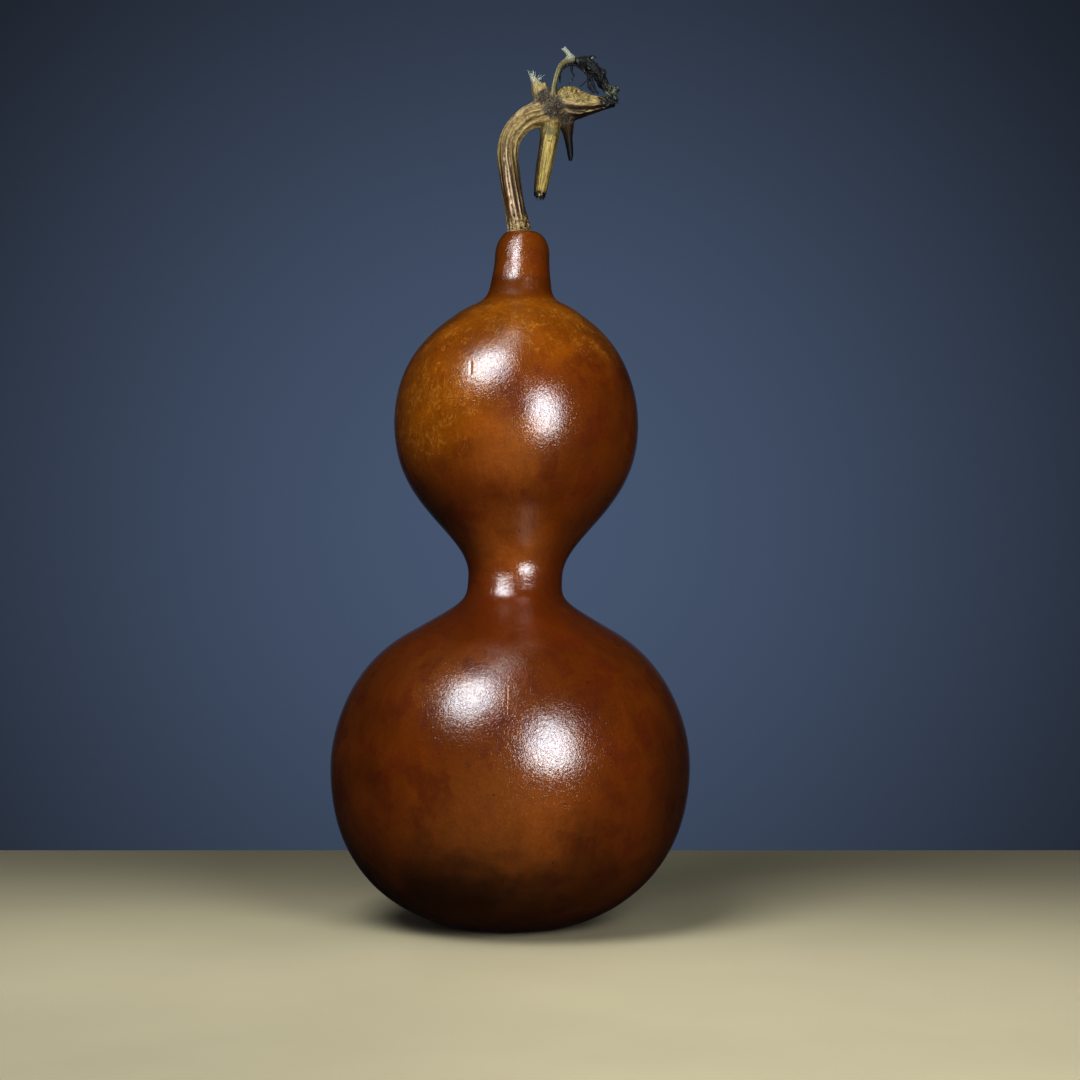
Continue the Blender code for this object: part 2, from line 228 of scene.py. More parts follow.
class GourdSettings(bpy.types.PropertyGroup):
    """Sizes and colours of the gourd's body."""

    sides: IntProperty(
        name="Sides", description="Faces round the gourd", default=240, min=24)
    ring_gap: FloatProperty(
        name="Ring gap", description="Distance between the rings of faces", default=1.0 * MM,
        unit="LENGTH", precision=4)
    unevenness: FloatProperty(
        name="Unevenness", description="Depth of the slow swells of the skin", default=0.22 * MM,
        unit="LENGTH", precision=5)
    pebbling: FloatProperty(
        name="Pebbling", description="Depth of the fine pebbled relief under the gloss",
        default=0.040 * MM, unit="LENGTH", precision=6)
    wrinkling: FloatProperty(
        name="Neck wrinkles", description="Depth of the level wrinkles round the neck",
        default=0.12 * MM, unit="LENGTH", precision=6)
    coat_roughness: FloatProperty(
        name="Gloss roughness", description="Roughness of the clear glossy layer", default=0.05,
        subtype="FACTOR", min=0.0, max=1.0)
    gold: FloatVectorProperty(
        name="Golden skin", description="Skin of the sunny side of the upper belly",
        default=(0.220, 0.068, 0.0010), subtype="COLOR", min=0.0, max=1.0)
    # Painted light: a warmer, brighter skin colour laid where the front light falls on the waist and lower
    # belly.
    front_lit_amber: FloatVectorProperty(
        name="Amber skin", description="Warmer skin of the front of the waist and lower belly",
        default=(0.215, 0.066, 0.009), subtype="COLOR", min=0.0, max=1.0)
    brown: FloatVectorProperty(
        name="Brown skin", description="Skin of the lower belly and the waist",
        default=(0.122, 0.0285, 0.0012), subtype="COLOR", min=0.0, max=1.0)
    # Also laid as painted shade on the right of the neck.
    red: FloatVectorProperty(
        name="Red skin", description="Redder patches of the skin",
        default=(0.100, 0.0165, 0.0010), subtype="COLOR", min=0.0, max=1.0)
    # Used for the pits, for the darker base, which is partly stain and partly painted shade, and for the
    # painted shade on the flanks.
    dark: FloatVectorProperty(
        name="Dark skin", description="Stained skin near the base",
        default=(0.022, 0.008, 0.002), subtype="COLOR", min=0.0, max=1.0)
    vein: FloatVectorProperty(
        name="Veins", description="Pale curling veins in the golden skin",
        default=(0.42, 0.20, 0.038), subtype="COLOR", min=0.0, max=1.0)


class StemSettings(bpy.types.PropertyGroup):
    """Sizes and colours of the stalk, the vine knot and the stubs."""

    voxel: FloatProperty(
        name="Grain size", description="Spacing of the faces of the stem", default=0.17 * MM,
        unit="LENGTH", precision=5)
    fillet: FloatProperty(
        name="Fillet", description="How softly the limbs grow into each other",
        default=0.65 * MM, unit="LENGTH", precision=5)
    straw: FloatVectorProperty(
        name="Straw", description="Upper part of the fruit stalk", default=(0.34, 0.235, 0.09),
        subtype="COLOR", min=0.0, max=1.0)
    bark: FloatVectorProperty(
        name="Bark", description="Lower part of the fruit stalk between its ribs",
        default=(0.118, 0.056, 0.020), subtype="COLOR", min=0.0, max=1.0)
    ridge: FloatVectorProperty(
        name="Ridge", description="Worn lilac crests of the ribs", default=(0.67, 0.47, 0.30),
        subtype="COLOR", min=0.0, max=1.0)
    # Also the colour of painted shade on the stalk's right side, the leaf stalk's left side and the sides
    # of the thin arc.
    groove_and_shade: FloatVectorProperty(
        name="Groove", description="Bottom of the grooves between ribs",
        default=(0.050, 0.026, 0.011), subtype="COLOR", min=0.0, max=1.0)
    gold: FloatVectorProperty(
        name="Vine", description="Upper side of the vine and the frayed stub",
        default=(0.40, 0.285, 0.12), subtype="COLOR", min=0.0, max=1.0)
    knob: FloatVectorProperty(
        name="Knob", description="Rough knob on the vine", default=(0.27, 0.19, 0.075),
        subtype="COLOR", min=0.0, max=1.0)
    leaf_stalk: FloatVectorProperty(
        name="Leaf stalk", description="Smooth yellow straw of the cut leaf stalk",
        default=(0.46, 0.335, 0.098), subtype="COLOR", min=0.0, max=1.0)
    olive: FloatVectorProperty(
        name="Thin stalk", description="Thin greenish stalk that arches over the vine",
        default=(0.180, 0.146, 0.054), subtype="COLOR", min=0.0, max=1.0)
    bleached: FloatVectorProperty(
        name="Bleached", description="Weathered broken ends and frayed fibres",
        default=(0.42, 0.41, 0.32), subtype="COLOR", min=0.0, max=1.0)
    crust: FloatVectorProperty(
        name="Crust", description="Dark crust of the vine knot", default=(0.105, 0.074, 0.054),
        subtype="COLOR", min=0.0, max=1.0)
    # Laid as painted shade on the vine's underside; also colours the shoot stub and the right edge of the
    # leaf stalk.
    underside: FloatVectorProperty(
        name="Underside", description="Red-brown underside of the vine",
        default=(0.045, 0.017, 0.008), subtype="COLOR", min=0.0, max=1.0)
    dark: FloatVectorProperty(
        name="Charred", description="Withered dark ends", default=(0.010, 0.009, 0.008),
        subtype="COLOR", min=0.0, max=1.0)
    hairs: IntProperty(
        name="Hairs", description="Short hairs on the vine knot", default=240, min=0)
    hair_length: FloatProperty(
        name="Hair length", description="Longest of the short hairs", default=1.1 * MM,
        unit="LENGTH", precision=4)


class TendrilSettings(bpy.types.PropertyGroup):
    """Sizes and colours of the withered tendril."""

    strands: IntProperty(
        name="Strands", description="Strands wound along the curled mass", default=17, min=1)
    wisps: IntProperty(
        name="Wisps", description="Loose curled ends", default=46, min=0)
    flakes: IntProperty(
        name="Flakes", description="Shrivelled scraps of leaf", default=26, min=0)
    colour: FloatVectorProperty(
        name="Withered", description="Black-brown of the withered strands",
        default=(0.0062, 0.0050, 0.0040), subtype="COLOR", min=0.0, max=1.0)
    scrap: FloatVectorProperty(
        name="Leaf scraps", description="Grey-green of the shrivelled scraps of leaf",
        default=(0.015, 0.0145, 0.010), subtype="COLOR", min=0.0, max=1.0)
    pale: FloatVectorProperty(
        name="Dusty", description="Dusty grey-green edges and specks",
        default=(0.20, 0.205, 0.12), subtype="COLOR", min=0.0, max=1.0)


class StageSettings(bpy.types.PropertyGroup):
    """The floor, the lights and the camera."""

    floor: FloatVectorProperty(
        name="Floor", description="Plain pale floor", default=(0.54, 0.445, 0.289),
        subtype="COLOR", min=0.0, max=1.0)
    surround: FloatVectorProperty(
        name="Surround", description="Dim studio round the object",
        default=(0.014, 0.016, 0.019), subtype="COLOR", min=0.0, max=1.0)
    room: FloatVectorProperty(
        name="Room", description="Dim room behind the camera, seen only in the gloss",
        default=(0.055, 0.062, 0.074), subtype="COLOR", min=0.0, max=1.0)
    backdrop: FloatVectorProperty(
        name="Backdrop", description="Slate blue glow behind the object",
        default=(0.118, 0.159, 0.242), subtype="COLOR", min=0.0, max=1.0)
    left_power: FloatProperty(
        name="Upper left light", description="Power in watts", default=5.85, min=0.0)
    right_power: FloatProperty(
        name="Right light", description="Power in watts", default=0.95, min=0.0)
    overhead_power: FloatProperty(
        name="Overhead strip", description="Power in watts", default=0.55, min=0.0)
    front_power: FloatProperty(
        name="Front fill", description="Power in watts", default=1.8, min=0.0)
    back_power: FloatProperty(
        name="Back fill", description="Power in watts, with half as much on the left", default=1.5,
        min=0.0)
    contrast: FloatProperty(
        name="Contrast", description="Gamma of the finished picture", default=0.75, min=0.1,
        max=2.0)
    camera_distance: FloatProperty(
        name="Camera distance", description="From the gourd's axis", default=0.700,
        unit="LENGTH")
    camera_height: FloatProperty(
        name="Camera height", description="Above the floor", default=0.1167, unit="LENGTH")
    camera_aside: FloatProperty(
        name="Camera aside", description="To the right of the base", default=0.0095,
        unit="LENGTH")
    focal_pixels: FloatProperty(
        name="Focal length", description="In pixels of a frame 1080 wide", default=2297.0)


# The picture is this many pixels wide, and the camera's sensor this many millimetres. The
# floor is in metres, and the tint is that of all the lights.
FRAME_PIXELS = 1080.0
SENSOR = 36.0
FLOOR_SIZE = (2.4, 1.2, 0.03)
FLOOR_EDGE = 0.004
FLOOR_BACK = 0.168
LIGHT_TINT = (0.82, 0.918, 1.0)
LIGHT_AIM = (0.0, 0.0, 105.0)

# Soft lights: place, radius, name of the power, share of it, spread in degrees, how much
# taller than wide, and whether the gloss shows them.
LIGHTS = {
    "upper_left_light": ((-255.0, -375.0, 622.0), 174.0, "left_power", 1.0, 180.0, 1.10, True),
    "right_light": ((189.0, -384.0, 208.0), 100.0, "right_power", 1.0, 110.0, 1.35, True),
    "overhead_strip": ((-60.0, -180.0, 700.0), 60.0, "overhead_power", 1.0, 180.0, 3.2, True),
    "back_fill": ((330.0, 620.0, 520.0), 260.0, "back_power", 1.0, 180.0, 1.0, False),
    "left_back_fill": ((-520.0, 560.0, 300.0), 260.0, "back_power", 0.5, 180.0, 1.0, False),
    "front_fill": ((30.0, -760.0, 150.0), 170.0, "front_power", 1.0, 180.0, 1.0, False),
}


def new_object(name, mesh):
    """An object with that mesh, linked to the scene."""
    item = bpy.data.objects.new(name, mesh)
    bpy.context.scene.collection.objects.link(item)
    return item


def mesh_from(name, places, faces, smooth=True):
    """A mesh from places in millimetres."""
    mesh = bpy.data.meshes.new(name)
    mesh.from_pydata((np.asarray(places) * MM).tolist(), [], faces)
    mesh.update()
    if smooth:
        mesh.shade_smooth()
    return mesh


def evaluated_mesh(item):
    """The mesh of an object as its modifiers leave it."""
    bpy.context.view_layer.update()
    depsgraph = bpy.context.evaluated_depsgraph_get()
    return bpy.data.meshes.new_from_object(item.evaluated_get(depsgraph))


def vertex_values(mesh, field):
    """The places, "co", or the normals, "normal", of the vertices of a mesh."""
    values = np.empty(len(mesh.vertices) * 3)
    mesh.vertices.foreach_get(field, values)
    return values.reshape(-1, 3)


def noise_at(places, scale, seed=0.0):
    """Smooth noise, about -1 to 1, at each place; scale is in waves a millimetre."""
    shifted = (places * scale + seed).tolist()
    return np.fromiter((noise.noise(place) for place in shifted), float, len(shifted))


def add_attribute(mesh, name, kind, values):
    """Keep a value for each vertex, for the material to read."""
    layer = mesh.attributes.new(name, kind, "POINT")
    field = {"FLOAT": "value", "FLOAT_VECTOR": "vector", "FLOAT_COLOR": "color"}[kind]
    layer.data.foreach_set(field, np.ascontiguousarray(values, dtype=np.float32).ravel())


def finish_piece(item, material, node):
    """Dress a piece, and fix it to the CAD body in place of a node."""
    item.data.materials.clear()
    item.data.materials.append(material)
    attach(item, BODY)
    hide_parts(node)


class Nodes:
    """Short ways to add nodes to one tree, with the place that they read in units of a size."""

    def __init__(self, tree, source="Object", size=MM):
        self.tree = tree
        place = self.add("ShaderNodeTexCoord").outputs[source]
        self.place = self.scaled(place, (1.0 / size, 1.0 / size, 1.0 / size))

    def feed(self, socket, value):
        """Link an input to a socket, or set it to a constant."""
        if isinstance(value, bpy.types.NodeSocket):
            self.tree.links.new(value, socket)
        else:
            socket.default_value = value

    def add(self, kind, inputs=None, **settings):
        """A node with its settings, and its inputs linked or set."""
        node = self.tree.nodes.new(kind)
        for name, value in settings.items():
            setattr(node, name, value)
        for key, value in (inputs or {}).items():
            self.feed(node.inputs[key], value)
        return node

    def calculate(self, operation, first, second=0.0):
        """The output of a Math node."""
        return self.add("ShaderNodeMath", {0: first, 1: second}, operation=operation).outputs[0]

    def times(self, first, *others):
        """The product of values."""
        for other in others:
            first = self.calculate("MULTIPLY", first, other)
        return first

    def plus(self, first, *others):
        """The sum of values."""
        for other in others:
            first = self.calculate("ADD", first, other)
        return first

    def less(self, first, *others):
        """A value less the others."""
        for other in others:
            first = self.calculate("SUBTRACT", first, other)
        return first

    def highest(self, first, *others):
        """The highest of values."""
        for other in others:
            first = self.calculate("MAXIMUM", first, other)
        return first

    def away(self, value, level):
        """How far a value is from a level, either way."""
        return self.calculate("ABSOLUTE", self.less(value, level))

    def ease(self, value, low, high, start=0.0, end=1.0):
        """A value eased from one level to another between two limits."""
        inputs = {"Value": value, "From Min": low, "From Max": high, "To Min": start, "To Max": end}
        node = self.add("ShaderNodeMapRange", inputs, interpolation_type="SMOOTHSTEP")
        return node.outputs["Result"]

    def band(self, value, low, full, still, high):
        """1 between the two middle limits, easing to 0 at the outer ones."""
        return self.times(self.ease(value, low, full), self.ease(value, high, still))

    def blend(self, cover, under, over, mode="MIX"):
        """A colour laid over another by a cover from 0 to 1."""
        colours = [part if isinstance(part, bpy.types.NodeSocket) else (*part, 1.0)
                   for part in (under, over)]
        inputs = {0: cover, 6: colours[0], 7: colours[1]}
        return self.add("ShaderNodeMix", inputs, data_type="RGBA", blend_type=mode).outputs[2]

    def shaded(self, colour, shade):
        """A colour made darker or lighter by a factor."""
        grey = self.add("ShaderNodeCombineXYZ", {0: shade, 1: shade, 2: shade}).outputs[0]
        return self.blend(1.0, colour, grey, "MULTIPLY")

    def noise(self, scale, detail=2.0, roughness=0.5, distortion=0.0, place=None):
        """The factor of a Noise Texture."""
        inputs = {"Vector": place or self.place, "Scale": scale, "Detail": detail,
                  "Roughness": roughness, "Distortion": distortion}
        return self.add("ShaderNodeTexNoise", inputs).outputs["Fac"]

    def scaled(self, vector, factors):
        """A vector times one factor for each axis."""
        inputs = {0: vector, 1: factors}
        return self.add("ShaderNodeVectorMath", inputs, operation="MULTIPLY").outputs[0]

    def parts(self, vector):
        """The three parts of a vector."""
        return self.add("ShaderNodeSeparateXYZ", {0: vector}).outputs

    def near(self, point, inner, outer, place=None):
        """1 within the inner distance of a point, easing to 0 at the outer one."""
        inputs = {0: place or self.place, 1: point}
        node = self.add("ShaderNodeVectorMath", inputs, operation="DISTANCE")
        return self.ease(node.outputs["Value"], inner, outer, 1.0, 0.0)

    def bump(self, height, depth, strength=1.0, normal=None):
        """The normal of a bumpy surface, on top of another normal where one is given."""
        inputs = {"Strength": strength, "Distance": depth, "Height": height}
        if normal is not None:
            inputs["Normal"] = normal
        return self.add("ShaderNodeBump", inputs).outputs[0]


def new_material(name, size=MM):
    """A material, its nodes, and the inputs of its Principled shader."""
    material = bpy.data.materials.new(name)
    material.use_nodes = True
    shader = material.node_tree.nodes["Principled BSDF"]
    return material, Nodes(material.node_tree, "Object", size), shader.inputs


def lean_at(stations, heights):
    """Shift of the gourd's middle line at each height."""
    shift = np.full(len(heights), stations[-1][1])
    for (low, start), (high, end) in reversed(list(zip(stations, stations[1:]))):
        share = np.clip((heights - low) / (high - low), 0.0, 1.0)
        eased = start + (end - start) * share * share * (3.0 - 2.0 * share)
        shift = np.where(heights < high, eased, shift)
    return shift


def heading_vector(knot):
    """The way the outline heads at a knot, in the XZ plane."""
    angle = math.radians(knot.heading)
    return Vector((math.cos(angle), 0.0, math.sin(angle)))


def outline_points(gap):
    """The gourd's outline from the base's edge to the stalk's seat, a point every gap."""
    fine = []
    for lower, upper in zip(OUTLINE, OUTLINE[1:]):
        start = Vector((lower.radius, 0.0, lower.height))
        end = Vector((upper.radius, 0.0, upper.height))
        leave = start + heading_vector(lower) * lower.reach_after
        arrive = end - heading_vector(upper) * upper.reach_before
        fine += geometry.interpolate_bezier(start, leave, arrive, end, CURVE_POINTS)[:-1]
    points = np.array([(point.x, point.z) for point in fine])
    steps = np.linalg.norm(np.diff(points, axis=0), axis=1)
    along = np.concatenate(([0.0], np.cumsum(steps)))
    count = int(along[-1] / gap) + 1
    places = np.linspace(0.0, along[-1], count)
    return np.column_stack([np.interp(places, along, points[:, axis]) for axis in (0, 1)])


def disc_rings(radius, height, count):
    """Points from the middle of a disc out to its edge."""
    return [(radius * step / count, height) for step in range(1, count)]


def turned_grid(profile, sides):
    """Places and faces of a profile turned about Z, with a middle point at each end."""
    angles = np.arange(sides) * 2.0 * math.pi / sides
    radii, heights = profile[:, 0][:, None], profile[:, 1][:, None]
    grid = np.stack([radii * np.cos(angles), radii * np.sin(angles),
                     np.broadcast_to(heights, (len(profile), sides))], axis=2)
    places = [(0.0, 0.0, profile[0, 1])] + grid.reshape(-1, 3).tolist() + [(0.0, 0.0, profile[-1, 1])]
    faces = []
    for side in range(sides):
        after = (side + 1) % sides
        faces.append((0, 1 + after, 1 + side))
        for ring in range(len(profile) - 1):
            low, high = 1 + ring * sides, 1 + (ring + 1) * sides
            faces.append((low + side, low + after, high + after, high + side))
        last = 1 + (len(profile) - 1) * sides
        faces.append((last + side, last + after, len(places) - 1))
    return np.array(places), faces


def gourd_mesh(settings):
    """The fine mesh of the gourd, with slow swells, a blossom scar and a puckered top."""
    outline = outline_points(settings.ring_gap / MM)
    base = disc_rings(outline[0, 0], 0.0, BASE_RINGS)
    top = disc_rings(outline[-1, 0], BODY_HEIGHT, TOP_RINGS)[::-1]
    profile = np.array(base + outline.tolist() + top)
    places, faces = turned_grid(profile, settings.sides)
    outward = places * (1.0, 1.0, 0.0)
    spread = np.linalg.norm(outward, axis=1)
    outward /= np.maximum(spread, 0.01)[:, None]
    below_top = np.clip((BODY_HEIGHT - 4.5 - places[:, 2]) / 8.0, 0.0, 1.0)
    away = np.clip(places[:, 2] / 6.0, 0.0, 1.0) * below_top
    swell = noise_at(places, 1.0 / 26.0, 3.1) + 0.3 * noise_at(places, 1.0 / 11.0, 8.7)
    fibre = noise_at(np.column_stack([outward[:, :2] * 5.0, places[:, 2] / 30.0]), 1.0, 5.3)
    away *= 1.0 - 0.65 * rise(places[:, 2], 184.0, 194.0)
    places += outward * ((swell + 0.25 * fibre) * away * settings.unevenness / MM)[:, None]
    places[:, 1] = places[:, 1] * DEPTH_SHARE + lean_at(LEAN_BACK, places[:, 2])
    places[:, 0] += lean_at(LEAN_RIGHT, places[:, 2])
    scar_base(places)
    pucker_top(places)
    return mesh_from("gourd_body", places, faces)


def scar_base(places):
    """The blossom scar: a shallow dimple with a nub in the middle of the flat base."""
    reach = np.hypot(places[:, 0], places[:, 1])
    flat = (places[:, 2] < 0.001) & (reach < SCAR_REACH)
    dimple = 0.9 * np.cos(np.clip(reach / SCAR_REACH, 0.0, 1.0) * math.pi / 2.0) ** 2
    nub = 0.7 * np.exp(-(reach / 1.3) ** 2)
    angle = np.arctan2(places[:, 1], places[:, 0])
    wrinkles = 0.07 * np.cos(11.0 * angle) * np.exp(-((reach - 3.4) / 1.2) ** 2)
    places[flat, 2] += (dimple - nub + wrinkles)[flat]


def pucker_top(places):
    """Fine wrinkles and a low lip where the skin meets the stalk."""
    offset = places[:, :2] - np.array(STALK_CENTRE)
    reach = np.hypot(offset[:, 0], offset[:, 1])
    angle = np.arctan2(offset[:, 1], offset[:, 0])
    high = np.clip((places[:, 2] - BODY_HEIGHT + 5.5) / 3.0, 0.0, 1.0)
    lip = 0.22 * np.exp(-((reach - 4.1) / 0.55) ** 2)
    wrinkles = 0.07 * np.cos(13.0 * angle + 0.6 * np.sin(3.0 * angle))
    wrinkles *= np.exp(-((reach - 4.9) / 1.6) ** 2)
    places[:, 2] += (lip + wrinkles) * high


def skin_material(settings):
    """Lacquered gourd skin: golden above, red-brown below, darker at the base with stain and painted shade,
    and with patches of painted light and shade.
    """
    material, nodes, shader = new_material("gourd_skin")
    skin, normal, gloss = skin_finish(nodes, settings)
    nodes.feed(shader["Base Color"], skin)
    patch = nodes.noise(0.11, 4.0, 0.6, 0.4)
    nodes.feed(shader["Roughness"], nodes.ease(patch, 0.3, 0.7, 0.36, 0.50))
    shader["IOR"].default_value = 1.48
    shader["Specular IOR Level"].default_value = 0.11
    nodes.feed(shader["Coat Weight"], gloss)
    shader["Coat Roughness"].default_value = settings.coat_roughness
    shader["Coat IOR"].default_value = 1.62
    nodes.feed(shader["Normal"], normal)
    nodes.feed(shader["Coat Normal"], normal)
    return material


def along_skin(nodes, ring, across, along):
    """Places stretched along the gourd: waves across and along it."""
    parts = {0: nodes.times(ring[0], across), 1: nodes.times(ring[1], across),
             2: nodes.times(nodes.parts(nodes.place)[2], along)}
    return nodes.add("ShaderNodeCombineXYZ", parts).outputs[0]


def skin_finish(nodes, settings):
    """The colour of the skin, its bumpy normal and the weight of its gloss."""
    place = nodes.place
    x, _, z = nodes.parts(place)
    round_way = nodes.add("ShaderNodeVectorMath", {0: nodes.scaled(place, (1.0, 1.0, 0.0))},
                          operation="NORMALIZE")
    ring = nodes.parts(round_way.outputs[0])
    cloud = nodes.noise(0.045, 3.0, 0.55, 0.6)
    patch = nodes.noise(0.11, 4.0, 0.6, 0.4)
    fibres = nodes.noise(1.0, 4.0, 0.6, place=along_skin(nodes, ring, 24.0, 0.16))
    fine = nodes.noise(1.1, 4.0, 0.65)

    height = nodes.plus(z, nodes.times(nodes.less(cloud, 0.5), 26.0))
    golden = nodes.highest(nodes.ease(height, 164.0, 184.0),
                           nodes.near((-23.0, -17.0, 158.0), 8.0, 30.0),
                           nodes.near((22.0, 33.0, 150.0), 6.0, 26.0))
    golden = nodes.times(golden, nodes.ease(patch, 0.25, 0.60, 0.45, 1.0),
                         nodes.ease(z, 187.5, 192.5, 1.0, 0.30))
    # Painted light: warmer, brighter patches where light falls on the front of the lower belly, the waist,
    # the upper belly and the left shoulder, and one warm patch on the back.
    lit_shoulder = nodes.times(nodes.near((-20.0, -36.0, 80.0), 3.0, 19.0), 0.45)
    front_lit_amber = nodes.highest(nodes.near((-2.0, -50.0, 33.0), 6.0, 36.0),
                          nodes.near((0.0, -14.0, 116.0), 5.0, 19.0),
                          nodes.near((1.0, -30.0, 143.0), 5.0, 20.0), lit_shoulder,
                          nodes.near((12.0, 46.0, 62.0), 6.0, 34.0))
    front_lit_amber = nodes.times(front_lit_amber, nodes.ease(patch, 0.20, 0.60, 0.6, 1.0))
    skin = nodes.blend(front_lit_amber, settings.brown, settings.front_lit_amber)
    skin = nodes.blend(golden, skin, settings.gold)

    level = nodes.scaled(place, (0.0, 0.0, 1.0))
    waist_red = nodes.times(nodes.near((0.0, 0.0, 99.0), 5.0, 22.0, level), 0.7)
    # Redder patches of the skin and a redder band round the waist, with a patch of painted shade on the
    # right of the neck.
    red_and_neck_shade = nodes.highest(nodes.ease(patch, 0.44, 0.64), waist_red,
                            nodes.near((14.0, 2.0, 200.0), 4.0, 12.0))
    red_and_neck_shade = nodes.times(red_and_neck_shade, nodes.less(1.0, golden), nodes.ease(front_lit_amber, 0.2, 1.0, 1.0, 0.35))
    skin = nodes.blend(nodes.times(red_and_neck_shade, 0.75), skin, settings.red)
    # Partly a stain and partly painted shade: darker towards the bottom and the left, eased back at the
    # very bottom as painted light bounced from the floor.
    stain_and_low_shade = nodes.times(nodes.ease(height, 45.0, 7.0), nodes.ease(z, 2.0, 14.0, 0.48, 0.82),
                        nodes.ease(x, 2.0, 34.0, 1.0, 0.72))
    skin = nodes.blend(stain_and_low_shade, skin, settings.dark)
    # Painted shade: darker patches on both lower flanks of the upper belly and on the right of the lower
    # belly, where the light falls off.
    painted_flank_shade = nodes.highest(nodes.near((47.0, -22.0, 45.0), 5.0, 24.0),
                          nodes.near((27.0, -6.0, 129.0), 4.0, 17.0),
                          nodes.near((-24.0, -6.0, 127.0), 3.0, 14.0))
    skin = nodes.blend(nodes.times(painted_flank_shade, 0.36), skin, settings.dark)
    skin = nodes.blend(nodes.times(vein_cover(nodes, golden, z), 0.31), skin, settings.vein)

    neck_foot = nodes.band(z, 188.5, 191.5, 195.0, 199.0)
    shade = nodes.times(nodes.ease(fibres, 0.30, 0.72, 0.95, 1.04),
                        nodes.ease(fine, 0.28, 0.72, 0.90, 1.08),
                        nodes.ease(cloud, 0.30, 0.70, 0.84, 1.14),
                        nodes.ease(z, 60.0, 108.0, 0.90, 1.0),
                        nodes.ease(neck_foot, 0.0, 1.0, 1.0, 0.72))
    skin = nodes.shaded(skin, shade)

    pits = nodes.add("ShaderNodeTexVoronoi", {"Vector": place, "Scale": 0.30})
    chance = nodes.parts(pits.outputs["Color"])[0]
    beyond = nodes.less(pits.outputs["Distance"], nodes.ease(chance, 0.55, 1.0, 0.0, 0.13))
    dots = nodes.times(nodes.ease(beyond, -0.05, 0.01, 1.0, 0.0), nodes.ease(chance, 0.55, 0.60))
    skin = nodes.blend(nodes.times(dots, 0.62), skin, settings.dark)
    scratch = nodes.times(thin_mark(nodes, (0.3, 72.5), 0.17, 7.5), nodes.ease(fine, 0.42, 0.55))
    skin = nodes.blend(nodes.times(scratch, 0.65), skin, settings.vein)
    chips = nodes.times(nodes.near((17.2, -11.0, 96.8), 0.4, 2.4),
                        nodes.ease(nodes.noise(1.6, 2.0, 0.7), 0.60, 0.66))
    skin = nodes.blend(nodes.times(chips, 0.8), skin, settings.vein)

    worn = nodes.band(z, 188.5, 190.5, 195.0, 197.0)
    gloss = nodes.times(nodes.ease(worn, 0.0, 1.0, 1.0, 0.04), nodes.ease(z, 10.0, 42.0, 0.25, 1.0))
    relief = nodes.plus(nodes.noise(0.80, 1.0, 0.5, 0.3), nodes.times(fibres, 0.1),
                        nodes.times(nodes.noise(1.75, 1.0, 0.5, 1.6), 1.5))
    crease = thin_mark(nodes, (-10.8, 167.3), 0.8, 2.6)
    relief = nodes.less(relief, nodes.times(crease, 2.2), scratch, nodes.times(dots, 0.6))
    waist = nodes.times(nodes.band(z, 96.0, 104.0, 108.0, 116.0), 0.8)
    wrinkled = nodes.highest(nodes.band(z, 187.0, 191.0, 208.0, 211.5), waist)
    wrinkles = nodes.noise(1.0, 2.0, 0.6, 0.5, along_skin(nodes, ring, 8.0, 1.25))
    normal = nodes.bump(relief, settings.pebbling)
    normal = nodes.bump(nodes.times(wrinkles, wrinkled), settings.wrinkling, 1.0, normal)
    return skin, normal, gloss


def vein_cover(nodes, golden, z):
    """Pale curling veins and flecks in the golden skin, as a mask."""
    squeezed = nodes.scaled(nodes.place, (1.0, 1.0, 0.62))
    worm = nodes.away(nodes.noise(0.25, 1.0, 0.5, 1.3, squeezed), 0.56)
    curls = nodes.away(nodes.noise(0.43, 1.0, 0.5, 1.8, squeezed), 0.52)
    speckle = nodes.noise(0.8, 3.0, 0.7)
    broken = nodes.ease(nodes.noise(0.20, 2.0, 0.6), 0.46, 0.60)
    spread = nodes.ease(nodes.noise(0.17, 2.0, 0.6, 0.5), 0.49, 0.62)
    veins = nodes.highest(nodes.times(nodes.ease(worm, 0.006, 0.062, 1.0, 0.0), broken),
                          nodes.times(nodes.ease(curls, 0.006, 0.080, 1.0, 0.0), spread))
    veins = nodes.times(veins, nodes.ease(speckle, 0.34, 0.52, 0.25, 1.0))
    veins = nodes.highest(veins, nodes.times(nodes.ease(speckle, 0.62, 0.69), 0.45))
    return nodes.times(veins, nodes.ease(golden, 0.10, 0.7), nodes.ease(z, 187.5, 192.0, 1.0, 0.0))


def thin_mark(nodes, middle, half_width, half_length):
    """An upright line on the front of the gourd, as a mask."""
    x, y, z = nodes.parts(nodes.place)
    return nodes.times(nodes.ease(nodes.away(x, middle[0]), 0.0, half_width, 1.0, 0.0),
                       nodes.ease(nodes.away(z, middle[1]), half_length * 0.5, half_length, 1.0, 0.0),
                       nodes.ease(y, -2.0, 0.0, 1.0, 0.0))


def smooth_route(stops, spacing):
    """Rows of x, y, z and radius on a smooth curve through the stops."""
    knots = [np.array(stop) for stop in stops]
    knots = [knots[0] * 2.0 - knots[1]] + knots + [knots[-1] * 2.0 - knots[-2]]
    route = []
    for before, start, end, after in zip(knots, knots[1:], knots[2:], knots[3:]):
        steps = max(1, round(np.linalg.norm((end - start)[:3]) / spacing))
        for t in np.arange(steps) / steps:
            bend = before * 2.0 - start * 5.0 + end * 4.0 - after
            swing = start * 3.0 - before - end * 3.0 + after
            route.append((start * 2.0 + (end - before) * t + bend * t * t + swing * t ** 3) * 0.5)
    route.append(knots[-2])
    return np.array(route)


def unit(vectors):
    """Vectors of length one."""
    return vectors / np.maximum(np.linalg.norm(vectors, axis=-1, keepdims=True), 1e-9)


